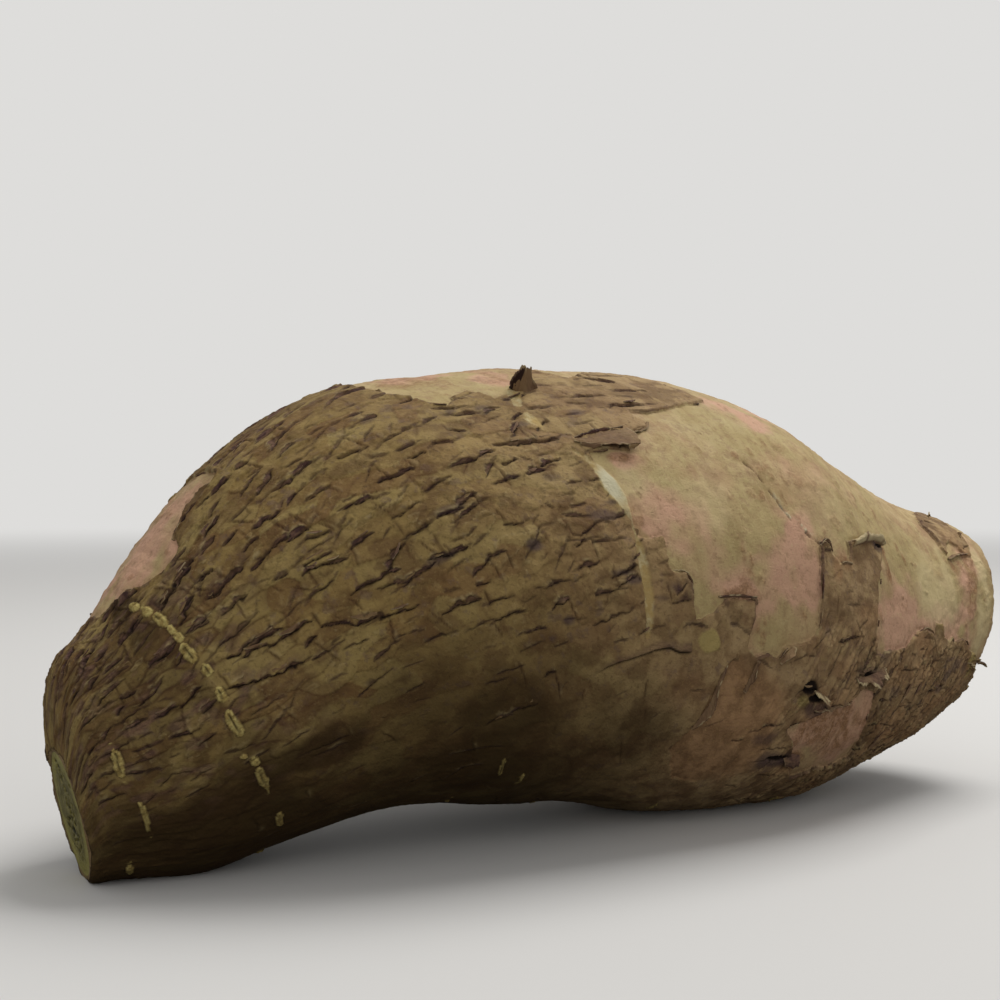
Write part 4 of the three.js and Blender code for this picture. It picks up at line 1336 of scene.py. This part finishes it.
def end_face(name, section, sign, dome, marks, deep, seed, cream):
    """The flesh at one end, ring by ring from its rim to its middle."""
    degrees = np.arange(FACE_POINTS) * 360 / FACE_POINTS
    axis = axis_at(section) * sign
    face_rings, shares = [], []
    for share in np.linspace(FACE_SHARE, 0.0, FACE_RINGS):
        ring = ring_within(section, max(share, 1e-4), degrees)
        face_rings.append(ring + axis * dome * (1 - share ** 2))
        shares.append(np.full(FACE_POINTS, share))
    face_points = np.vstack([*face_rings[:-1], face_rings[-1].mean(0)])
    shares = np.append(np.concatenate(shares[:-1]), 0.0)
    angles = np.append(np.tile(degrees, FACE_RINGS - 1), 0.0)
    flat_a = shares * np.cos(np.radians(angles))
    flat_b = shares * np.sin(np.radians(angles))
    pit = np.zeros(len(shares))
    for a, b, long_radius, wide_radius, turned, strength in marks:
        c, s = math.cos(turned), math.sin(turned)
        u, v = (flat_a - a) * c + (flat_b - b) * s, (flat_b - b) * c - (flat_a - a) * s
        pit = np.maximum(pit, strength * np.exp(-(u / long_radius) ** 2 - (v / wide_radius) ** 2))
    waves = np.random.default_rng(seed)
    relief_mm = np.zeros(len(shares))
    for _ in range(FACE_WAVES):
        way, size = waves.uniform(0, math.pi), waves.uniform(4, 30)
        relief_mm += (deep * 2.2 / size) * np.sin(
            size * (flat_a * math.cos(way) + flat_b * math.sin(way)) + waves.uniform(0, 6.28))
    relief_mm = (relief_mm - PORE_DEPTH * pit) * eased(FACE_SHARE - shares, 0, 0.1) - SET_BACK
    face_points = np.clip(face_points + axis * relief_mm[:, None], lowest, highest)
    grid = np.arange((FACE_RINGS - 1) * FACE_POINTS).reshape(FACE_RINGS - 1, FACE_POINTS)
    nexts = np.roll(grid, -1, 1)
    fours = np.stack([grid[:-1], nexts[:-1], nexts[1:], grid[1:]], -1).reshape(-1, 4)
    threes = [(a, b, len(face_points) - 1) for a, b in zip(grid[-1], nexts[-1])]
    if sign > 0:
        fours, threes = fours[:, ::-1], [t[::-1] for t in threes]
    made = new_piece(name, face_points * MM, [*fours.tolist(), *threes], flesh_finish)
    save_field(made.data, "pit", pit)
    save_field(made.data, "share", shares)
    save_field(made.data, "cream", np.full(len(shares), cream))
    save_field(made.data, "flat", np.stack([flat_a, flat_b, shares], -1) * 12)
    made.data.shade_smooth()
    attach(made, "root")


flesh_finish, tree = new_material("flesh")
where = attribute(tree, "flat", "Vector")
grains = mottle(tree, where, 0.55, 5.0, 0.65)
specks = mottle(tree, where, 2.4, 3.0, 0.65)
# The flesh's base tone is darkened, a painted shade on the sawn neck; the tail's face is mixed over to a
# paler cream.
cream_tone = layered(tree, paint(206, 187, 140), (grains, (0.36, 0.60), 1.0, paint(168, 140, 98)))
colour = layered(
    tree, paint(134, 125, 68),
    (grains, (0.38, 0.62), 1.0, paint(102, 94, 48)),
    (attribute(tree, "share"), (0.62, 0.84), 0.8, paint(166, 157, 86)),
    (attribute(tree, "cream"), None, 1.0, cream_tone),
    (specks, (0.62, 0.72), 0.6, paint(120, 114, 62)),
    (specks, (0.40, 0.28), 0.4, paint(186, 180, 130)),
    (attribute(tree, "pit"), (0.15, 0.6), 1.0, paint(34, 32, 16)))
dull_surface(tree, colour, between(tree, grains, 0.3, 0.7, 0.5, 0.65),
             maths(tree, "ADD", grains, maths(tree, "MULTIPLY", specks, 0.6)), gloss=0.25)

# Pores and vessels: place across the face and up it, half length and half
# width, all in shares of the face, then the turn in radians and the strength.
pore_draws = np.random.default_rng(5)
NECK_VESSELS, TAIL_VESSELS = 64, 30
pores = [(-0.08, -0.28, 0.14, 0.065, 0.2, 1.0), (-0.02, -0.44, 0.06, 0.035, 0.9, 0.95),
         (0.06, -0.49, 0.065, 0.035, 2.4, 0.9), (0.10, -0.58, 0.05, 0.03, 0.4, 0.8),
         (-0.12, 0.60, 0.05, 0.035, 0.2, 0.8), (-0.02, 0.54, 0.05, 0.035, 0.2, 0.8)]
for _ in range(NECK_VESSELS):
    a, b = pore_draws.normal(0, 0.30), pore_draws.uniform(-0.66, 0.78)
    pores.append((a, b, pore_draws.uniform(0.035, 0.085), pore_draws.uniform(0.018, 0.036),
                  pore_draws.normal(0, 0.5), pore_draws.uniform(0.6, 1.0)))
end_face("cut_neck", ring_sections[0], -1, dome=0.0, marks=pores, deep=0.10, seed=8, cream=0.0)

# The broken tail: the thin end snapped off, which leaves a low dome of torn
# flesh round a stringy core.
torn = [(0.02, 0.0, 0.07, 0.05, 0.6, 1.0)]
for _ in range(TAIL_VESSELS):
    away, way = pore_draws.uniform(0.1, 0.8), pore_draws.uniform(0, 2 * math.pi)
    torn.append((away * math.cos(way), away * math.sin(way), pore_draws.uniform(0.03, 0.09),
                 pore_draws.uniform(0.012, 0.025), way, pore_draws.uniform(0.2, 0.6)))
end_face("broken_tail", ring_sections[-1], 1, dome=TAIL_DOME, marks=torn, deep=0.28, seed=9,
         cream=0.9)

# -------------------------------------------------- curled strips and flakes
# Strips of dry bark that have let go of the rind and curled out from it, still
# held along one side. They are thin and stiff, dark purple-brown within, and
# paler along their broken margins, partly a painted highlight.


def on_root(place, degrees):
    """Points on the root in mm, and their outward directions."""
    place, degrees = np.asarray(place, float), np.asarray(degrees, float)
    steps = np.interp(place, ALONG, ring_steps)

    def point(a, d):
        return on_form(section_at(a), d)

    here = point(steps, degrees)
    ahead = point(np.minimum(steps + 0.01, len(SECTIONS) - 1.001), degrees) - here
    round_way = point(steps, degrees + 0.5) - here
    out = np.cross(round_way, ahead)
    out /= np.linalg.norm(out, axis=1, keepdims=True)
    if (out * (here - point(steps, degrees + 180))).sum() < 0:
        out = -out
    return here, out


def growth_at(places, degrees):
    """The skin's own growth coordinates at places on it."""
    turned = np.radians(degrees)
    near_radius = np.interp(places, ALONG, np.degrees(MM_A_DEGREE))
    return np.stack([np.interp(places, ALONG, np.arange(rings) * STEP_ALONG),
                     near_radius * np.cos(turned), near_radius * np.sin(turned)], -1)


def spread_along(line, count):
    """A line of places evenly drawn out to a count of points, and its length in mm."""
    line = np.array(line, float)
    scale = np.interp(line[:, 0].mean(), ALONG, MM_A_DEGREE)
    hops = np.hypot(np.diff(line[:, 0]), np.diff(line[:, 1]) * scale)
    run_mm = np.concatenate([[0], np.cumsum(hops)])
    share = np.linspace(0, 1, count)
    return [np.interp(share * run_mm[-1], run_mm, part) for part in line.T], run_mm[-1]


def teeth(chance, count, width):
    """An uneven broken line: chips of a given width, in points, with finer ones on them."""
    coarse = np.interp(np.arange(count) / max(width, 1), np.arange(count + 2),
                       chance.normal(0, 1, count + 2))
    return 0.8 * coarse + 0.35 * chance.normal(0, 1, count)


def closed_sheet(upper, under, growth_grid, chance, pale_from=0.80):
    """A thin solid sheet between two grids of points, root to free edge."""
    count, across_steps = upper.shape[:2]
    size = count * across_steps
    top = np.arange(size).reshape(count, across_steps)
    low = top + size
    faces = np.concatenate([
        np.stack([top[:-1, :-1], top[1:, :-1], top[1:, 1:], top[:-1, 1:]], -1).reshape(-1, 4),
        np.stack([low[:-1, :-1], low[:-1, 1:], low[1:, 1:], low[1:, :-1]], -1).reshape(-1, 4),
        np.stack([top[:-1, -1], top[1:, -1], low[1:, -1], low[:-1, -1]], -1),
        np.stack([top[:-1, 0], low[:-1, 0], low[1:, 0], top[1:, 0]], -1),
        np.stack([top[0, :-1], top[0, 1:], low[0, 1:], low[0, :-1]], -1),
        np.stack([top[-1, :-1], low[-1, :-1], low[-1, 1:], top[-1, 1:]], -1)])
    across = np.linspace(0, 1, across_steps)[None]
    patches = np.interp(np.arange(count) / 3.0, np.arange(count + 2), chance.uniform(0, 1, count + 2))
    pale_low = 0.44 * pale_from
    # The pale margin: partly the broken edge's own colour, partly a painted highlight.
    pale_edge_and_highlight = (eased(across, pale_from, pale_from + 0.2)
              * eased(patches, pale_low, pale_low + 0.4)[:, None])
    pale_edge_and_highlight[[0, -1]] = np.maximum(pale_edge_and_highlight[[0, -1]], 0.5)
    return {"points": np.concatenate([upper.reshape(-1, 3), under.reshape(-1, 3)]), "faces": faces,
            "within": np.repeat([0.0, 1.0], size), "pale_edge_and_highlight": np.tile(pale_edge_and_highlight.ravel(), 2),
            "growth": np.tile(growth_grid.reshape(-1, 3), (2, 1))}


def curled_strip(root, breadth, start, bend, side=1, thick=0.34, jag=0.22, seed=0,
                 across_steps=9, sink=0.45, step=0.4):
    """A strip held along its root line, breadth mm wide, that starts off at one angle
    to the skin and bends through another, both in degrees."""
    chance = np.random.default_rng(seed + 400)
    count = max(6, int(spread_along(root, 2)[1] / step))
    (places, angles, *lifts), _ = spread_along(root, count)
    share = np.linspace(0, 1, count)
    here, out = on_root(places, angles)
    if lifts:
        here = here + out * lifts[0][:, None]
    lengthwise = np.gradient(here, axis=0)
    lengthwise /= np.linalg.norm(lengthwise, axis=1, keepdims=True)
    away = np.cross(out, lengthwise) * side
    wide = np.interp(share, np.linspace(0, 1, len(breadth)), breadth)
    wide = np.maximum(wide * (1 + jag * teeth(chance, count, 1.4 / step)), 0.15)
    starts = np.radians(start + np.interp(share, np.linspace(0, 1, 5), chance.normal(0, 8, 5)))
    bends = np.radians(bend * (1 + np.interp(share, np.linspace(0, 1, 6), chance.normal(0, .18, 6))))
    across = np.linspace(0, 1, across_steps)
    uppers, unders = [], []
    middle = here - out * sink
    for k, t in enumerate(across):
        if k:
            angle = starts + bends * (across[k] + across[k - 1]) / 2
            hop = (wide / (across_steps - 1))[:, None]
            middle = middle + hop * (np.cos(angle)[:, None] * away + np.sin(angle)[:, None] * out)
        tip_angle = starts + bends * t
        face_way = np.cos(tip_angle)[:, None] * out - np.sin(tip_angle)[:, None] * away
        half = face_way * thick * (1 - 0.45 * t ** 3) / 2
        uppers.append(middle + half)
        unders.append(middle - half)
    upper, under = np.stack(uppers, 1), np.stack(unders, 1)
    upper = upper + out[:, None, :] * chance.normal(0, 0.04, upper.shape[:2])[..., None]
    grid = growth_at(np.repeat(places, across_steps), np.repeat(angles, across_steps))
    grid = grid.reshape(count, across_steps, 3) + across[None, :, None] * wide[:, None, None]
    return closed_sheet(upper, under, grid, chance)


def flake(root, edge, thick=0.5, bulge=0.3, seed=0, jag=0.10, count=34, across_steps=14,
          pale_from=0.80):
    """A flake between the line where it holds and its free edge, each given by
    mm along, degrees round and mm above the skin."""
    chance = np.random.default_rng(seed + 900)
    held, free = spread_along(root, count)[0], spread_along(edge, count)[0]
    held_at, held_out = on_root(held[0], held[1])
    free_at, free_out = on_root(free[0], free[1])
    held_at = held_at + held_out * (held[2][:, None] - 0.25)
    free_at = free_at + free_out * free[2][:, None]
    free_at = free_at + (free_at - held_at) * jag * teeth(chance, count, 4)[:, None]
    across = np.linspace(0, 1, across_steps)[None, :, None]
    middle = held_at[:, None] * (1 - across) + free_at[:, None] * across
    middle = middle + held_out[:, None] * bulge * 4 * across * (1 - across)
    facing = np.cross(np.gradient(middle, axis=0), np.gradient(middle, axis=1))
    facing /= np.linalg.norm(facing, axis=2, keepdims=True) + 1e-9
    if (facing * held_out[:, None]).sum() < 0:
        facing = -facing
    half = facing * thick * (1 - 0.4 * across ** 3) / 2
    ripple = facing * chance.normal(0, 0.05, middle.shape[:2])[..., None]
    places = np.linspace(held[0], free[0], across_steps, axis=1)
    angles = np.linspace(held[1], free[1], across_steps, axis=1)
    grid = growth_at(places.ravel(), angles.ravel()).reshape(count, across_steps, 3)
    return closed_sheet(middle + half + ripple, middle - half, grid, chance, pale_from)


flake_finish, tree = new_material("curled_bark")
outer = place_group(tree, bark_group, Tone=0.3, Groove=0.0, Band=attribute(tree, "dusk"), Bruise=0.0,
                    Chips=0.0, Film=0.0, Reddish=0.0, Crumble=0.3, Pale=0.0)
threads = mottle(tree, attribute(tree, "growth", "Vector"), 1.2, 4.0, 0.62)
inner = layered(
    tree, paint(58, 38, 38),
    (threads, (0.38, 0.62), 1.0, paint(96, 68, 56)),
    # Painted shade on the strips' inner faces.
    (attribute(tree, "damp"), None, 1.0, paint(42, 28, 24)))
# The pale margins, partly a painted highlight.
pale = maths(tree, "MULTIPLY", attribute(tree, "pale_edge_and_highlight"), attribute(tree, "paleness"))
colour = layered(
    tree, outer["Colour"],
    (attribute(tree, "within"), None, 1.0, inner),
    (pale, None, 1.0, paint(192, 174, 134)))
dull_surface(tree, colour, between(tree, threads, 0.3, 0.7, 0.76, 0.90), threads, gloss=0.18,
             strength=0.6, relief_m=0.0004)


SHARP_FROM = math.radians(50)


def strips_piece(name, strips, looks):
    """Strips joined as one piece of curled bark. Each strip's look is its paleness, dusk
    and the painted shade on its inner face."""
    counts = [len(strip["points"]) for strip in strips]
    starts = np.cumsum([0, *counts[:-1]])
    strip_faces = np.concatenate([strip["faces"] + start for strip, start in zip(strips, starts)])
    strip_points = np.clip(np.concatenate([strip["points"] for strip in strips]), lowest, highest)
    mesh = mesh_of(name, strip_points * MM, strip_faces, 4)
    mesh.materials.append(flake_finish)
    for key in ("within", "pale_edge_and_highlight", "growth"):
        save_field(mesh, key, np.concatenate([strip[key] for strip in strips]))
    for key, values in zip(("paleness", "dusk", "damp"), zip(*looks)):
        save_field(mesh, key, np.repeat(values, counts))
    made = into_scene(name, mesh)
    shaper = bmesh.new()
    shaper.from_mesh(mesh)
    bmesh.ops.recalc_face_normals(shaper, faces=shaper.faces)
    shaper.to_mesh(mesh)
    shaper.free()
    mesh.shade_smooth()
    mesh.set_sharp_from_angle(angle=SHARP_FROM)
    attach(made, "root")


# The tallest curl stands up on the crest, where a strip was pulled off.
crest_strips = [
    flake([(-16.9, 65.0, 0), (-16.9, 62.8, 0), (-15.9, 61.4, 0), (-14.2, 62.4, 0), (-12.8, 63.6, 0)],
          [(-17.0, 64.4, 0.4), (-17.8, 63.4, 2.4), (-17.6, 62.8, 4.0), (-16.5, 62.6, 5.0),
           (-16.0, 62.8, 4.2), (-15.0, 62.8, 4.6), (-14.9, 63, 3.0), (-13.8, 63, 1.6),
           (-12.9, 63.4, 0.5)], seed=1, thick=0.5, bulge=-0.7, jag=0.16),
    flake([(-17.1, 65.2, 0), (-17.2, 64, 0.6), (-17.2, 63.2, 1.4), (-16.8, 62.8, 2.4)],
          [(-17.4, 64.8, 0.6), (-18.1, 63.4, 2.6), (-17.9, 62.7, 4.2), (-16.6, 62.4, 5.1)],
          seed=41, thick=0.9, bulge=0.3, jag=0.10)]
strips_piece("crest_curl", crest_strips, [(0.5, 0.55, 0.0), (0.1, 1.0, 0.9)])
margin_strips = [
    flake([(-15.2, 42.6, 0.1), (-12, 43.2, 0.2), (-9.5, 44.2, 0.3), (-6, 45, 0.3), (-3.2, 45.4, 0.1)],
          [(-15.4, 41.5, 0.3), (-13.5, 40.3, 0.6), (-11.6, 39.6, 0.9), (-10.2, 39.0, 1.3),
           (-8.4, 38.4, 1.6), (-6.4, 38.2, 1.8), (-4.4, 38.4, 2.0), (-3.3, 41.4, 1.3)],
          seed=3, thick=0.32, bulge=0.1, jag=0.07, pale_from=0.9),
    curled_strip([(-14.6, 40.8, 0.5), (-12.6, 39.9, 0.8), (-11.2, 39.4, 1.1)], [0.4, 0.9, 0.3],
                 -30, -60, -1, seed=31, step=0.25, sink=0.0, thick=0.3, jag=0.4),
    curled_strip([(-6.6, 38.2, 1.8), (-5.4, 38.2, 1.9), (-4.4, 38.6, 2.0)], [0.5, 1.3, 0.9],
                 -30, -80, -1, seed=32, step=0.25, sink=0.0, thick=0.35, jag=0.4),
    curled_strip([(-18, 42.6), (-12, 44), (-4.2, 46)], [0.6, 1.5, 1.3], 20, 120, -1, seed=2,
                 across_steps=12, step=0.3),
    curled_strip([(-7.4, 5.8), (-6.2, 6.9), (-4.2, 6.6), (-2.9, 4.4), (-2.8, 1.4)], [0.5, 1.1, 0.6],
                 30, 70, 1, seed=4, step=0.3),
    curled_strip([(-3.4, 44.2), (0.8, 46.2), (2, 48.2)], [0.7, 1.0, 0.8], 20, 40, -1, seed=5),
    curled_strip([(3.5, 0.6), (9, 0.8), (13, 0.7)], [0.5, 1.0, 0.5], 30, 80, 1, seed=7, step=0.3),
]
strips_piece("margin_curls", margin_strips, [
    (0.8, 0.35, 0.0), (1.0, 0.5, 0.0), (1.0, 0.1, 0.0), (0.4, 1.0, 0.0), (0.9, 0.5, 0.0),
    (0.4, 0.4, 0.0), (0.7, 0.7, 0.0)])
strips_piece("strip_curls", [
    flake([(44.0, 20.0, 0), (48, 22.4, 0), (52.5, 25.2, 0), (56.8, 26.4, 0)],
          [(43.6, 21.0, 0.5), (46, 23.2, 0.9), (49, 25.4, 1.1), (52, 26.7, 1.2), (55.6, 27.9, 1.2),
           (57.2, 26.6, 0.6)], seed=8, thick=0.35, bulge=0.5, jag=0.14, pale_from=0.1),
    curled_strip([(32.8, 16.6), (34.4, 18.6), (36, 18.2)], [0.5, 1.0, 0.5], 30, 70, 1, seed=9),
    curled_strip([(38.6, 13.4), (42, 14)], [0.6, 0.9, 0.5], 25, 60, 1, seed=10),
    curled_strip([(20.2, -14.4), (21.4, -12), (23.6, -9.8)], [0.6, 1.7, 0.8], 60, 20, -1, seed=11),
    curled_strip([(31.8, 3), (32, 6), (32.4, 9.6)], [0.4, 0.9, 0.4], 25, 50, 1, seed=26),
], [(0.95, 0.4, 0.0), (0.9, 0.4, 0.0), (0.5, 0.5, 0.0), (0.95, 0.3, 0.0), (0.4, 0.6, 0.0)])
strips_piece("low_flakes", [
    curled_strip([(5.6, -15.4), (4, -20), (2.6, -26), (-0.5, -33)], [0.4, 0.8, 1.8, 0.5], 50, 40,
                 1, seed=12, step=0.3, jag=0.1),
    flake([(45.4, -16.4, 0), (48.8, -15.6, 0), (52.4, -14, 0), (55, -12, 0)],
          [(45.4, -17.8, 0.5), (47.4, -18.6, 1.2), (49.4, -17.4, 1.5), (51.4, -17.2, 1.7),
           (53, -15.4, 1.6), (55.4, -14.6, 1.3), (56, -12.4, 0.5)],
          seed=13, thick=0.3, bulge=0.2, jag=0.34, pale_from=0.55),
    flake([(32, -20.6, 0), (33.6, -20.8, 0), (35.4, -21.8, 0)],
          [(32.2, -21.6, 0.9), (34.2, -22.6, 1.6), (36.8, -22.9, 0.8)],
          seed=14, thick=0.3, bulge=0.1, jag=0.25, count=16, pale_from=0.2),
    curled_strip([(33.6, -25.6), (38.4, -25), (45, -23.6)], [1.1, 1.2, 0.8], 28, 60, -1,
                 seed=15, jag=0.3),
    flake([(31.6, -42.4, 0), (33.4, -40.6, 0), (36.2, -41.4, 0)],
          [(32.6, -44.6, 0.5), (35, -44.6, 1.1), (37.2, -44.6, 0.7)],
          seed=16, thick=0.35, bulge=0.3, jag=0.12, count=18),
    curled_strip([(14, -14), (12.2, -19), (11.2, -22)], [0.6, 1.2, 0.6], 40, 60, 1, seed=17),
    curled_strip([(69, 0.6), (71.6, 2.2), (75, 1.6), (76.4, -0.6)], [0.4, 0.9, 0.4], 25, 40, 1, seed=19),
    curled_strip([(97, -20), (99.4, -23), (101, -27)], [1.4, 2.8, 1.4], 40, 50, 1, seed=20,
                 jag=0.4),
    curled_strip([(102, -21), (104.6, -24.6), (106.4, -27.4)], [1.2, 2.4, 1.4], 50, 60, 1, seed=27,
                 jag=0.4),
    curled_strip([(89.4, 34.4), (93, 36.8), (99.6, 39.4)], [0.7, 1.0, 0.8], 20, 50, -1, seed=21),
    curled_strip([(100.6, 50), (101.8, 55)], [0.7, 1.4, 0.8], 40, 60, -1, seed=22),
    curled_strip([(98, 71), (100.6, 75)], [0.7, 1.5, 0.8], 50, 60, -1, seed=28),
], [(0.7, 0.4, 0.2), (0.9, 0.7, 0.0), (0.95, 0.5, 0.2), (0.7, 0.5, 0.2), (0.35, 0.9, 0.3),
    (0.4, 0.4, 0.3), (0.5, 0.3, 0.0), (0.95, 0.2, 0.0), (0.95, 0.2, 0.0), (0.6, 0.4, 0.0),
    (0.9, 0.2, 0.0), (0.9, 0.2, 0.0)])
strips_piece("neck_curls", [
    curled_strip([(-77, 74.6), (-74, 77.4), (-70, 78.4), (-65.8, 78.4)], [0.8, 1.5, 1.6, 0.9],
                 20, 90, 1, seed=23),
    curled_strip([(-64, 83.4), (-60, 86), (-56.5, 88)], [0.8, 1.4, 0.7], 20, 60, -1, seed=24),
    curled_strip([(-92.6, 86), (-89, 79.6), (-86.4, 74.6)], [0.5, 0.9, 0.6], 20, 60, 1, seed=25),
], [(0.4, 0.5, 0.1), (0.3, 0.7, 0.2), (0.4, 0.5, 0.2)])

# Along the rest of the torn margins the bark has let go in short lengths: the
# outlines, and how many lengths there are on each.
TORN_EDGES = [(CROWN, 46), (NECK_PATCH, 9), (LOW_PATCH, 5), *((patch, 5) for patch in FAR_PATCHES)]
EDGE_POINTS = 900
strip_draws = np.random.default_rng(91)
torn_strips, torn_looks = [], []
for outline, count in TORN_EDGES:
    loop = np.array([*outline, outline[0]], float)
    area = (loop[:-1, 0] * loop[1:, 1] - loop[1:, 0] * loop[:-1, 1]).sum()
    (places, angles), length = spread_along(loop, EDGE_POINTS)
    numbers = np.arange(EDGE_POINTS)
    for start in np.arange(count) / count * (EDGE_POINTS - 20) + strip_draws.uniform(0, 12, count):
        stop = start + strip_draws.uniform(1.4, 4.6) / length * EDGE_POINTS
        run_line = [(np.interp(s, numbers, places), np.interp(s, numbers, angles))
                    for s in np.linspace(start, min(stop, EDGE_POINTS - 1), 5)]
        if not all(-106 < place < 108 for place, _ in run_line):
            continue
        wide = strip_draws.uniform(0.3, 0.7)
        if 22 < run_line[2][0] < 60 and -8 < run_line[2][1] < 24:
            wide *= 0.5
        torn_strips.append(curled_strip(
            run_line, [0.2 * wide, wide, 0.7 * wide, 0.2 * wide], strip_draws.uniform(5, 35),
            strip_draws.uniform(-10, 60), 1 if area > 0 else -1, across_steps=6, jag=0.3,
            seed=int(strip_draws.integers(10000)), sink=0.25))
        torn_looks.append((strip_draws.uniform(0.1, 0.8), strip_draws.uniform(0.1, 0.8), 0.1))
strips_piece("torn_margins", torn_strips, torn_looks)

# Small scales hang over the deeper cracks, each still held by the plate above.
MOST_SCALES = 320
scales, scale_looks = [], []
for ax, ad, bx, bd, depth in crack_lines:
    room = bx - ax - 1.0
    if depth < 0.8 or room < 1 or strip_draws.random() > 0.75 or len(scales) >= MOST_SCALES:
        continue
    long_mm = min(room, strip_draws.uniform(1.2, 4.2))
    start = strip_draws.uniform(0.4, room - long_mm + 0.5)
    scale = np.interp(ax, ALONG, MM_A_DEGREE)
    lift = (0.45 + 0.45 * depth) / scale
    share = np.array([start, start + long_mm / 2, start + long_mm]) / (bx - ax)
    wide = strip_draws.uniform(0.35, 0.9) * (0.5 + 0.5 * depth)
    stand, bend = strip_draws.uniform(5, 30), strip_draws.uniform(-30, 30)
    seed = int(strip_draws.integers(10000))
    near_margin = max(value_at(bare, ax, ad), value_at(bare, bx, bd)) > -1.2
    if near_margin or value_at(cork, ax, ad) > 0.1:
        continue
    scales.append(curled_strip(
        [(ax + s * (bx - ax), ad + s * (bd - ad) + lift) for s in share], [0.3 * wide, wide, 0.4 * wide],
        stand, bend, -1, across_steps=5, jag=0.25, seed=seed, sink=0.0, thick=0.28))
    scale_looks.append((strip_draws.uniform(0, 0.7), strip_draws.uniform(0.2, 0.9), 0.05))
strips_piece("crack_scales", scales, scale_looks)
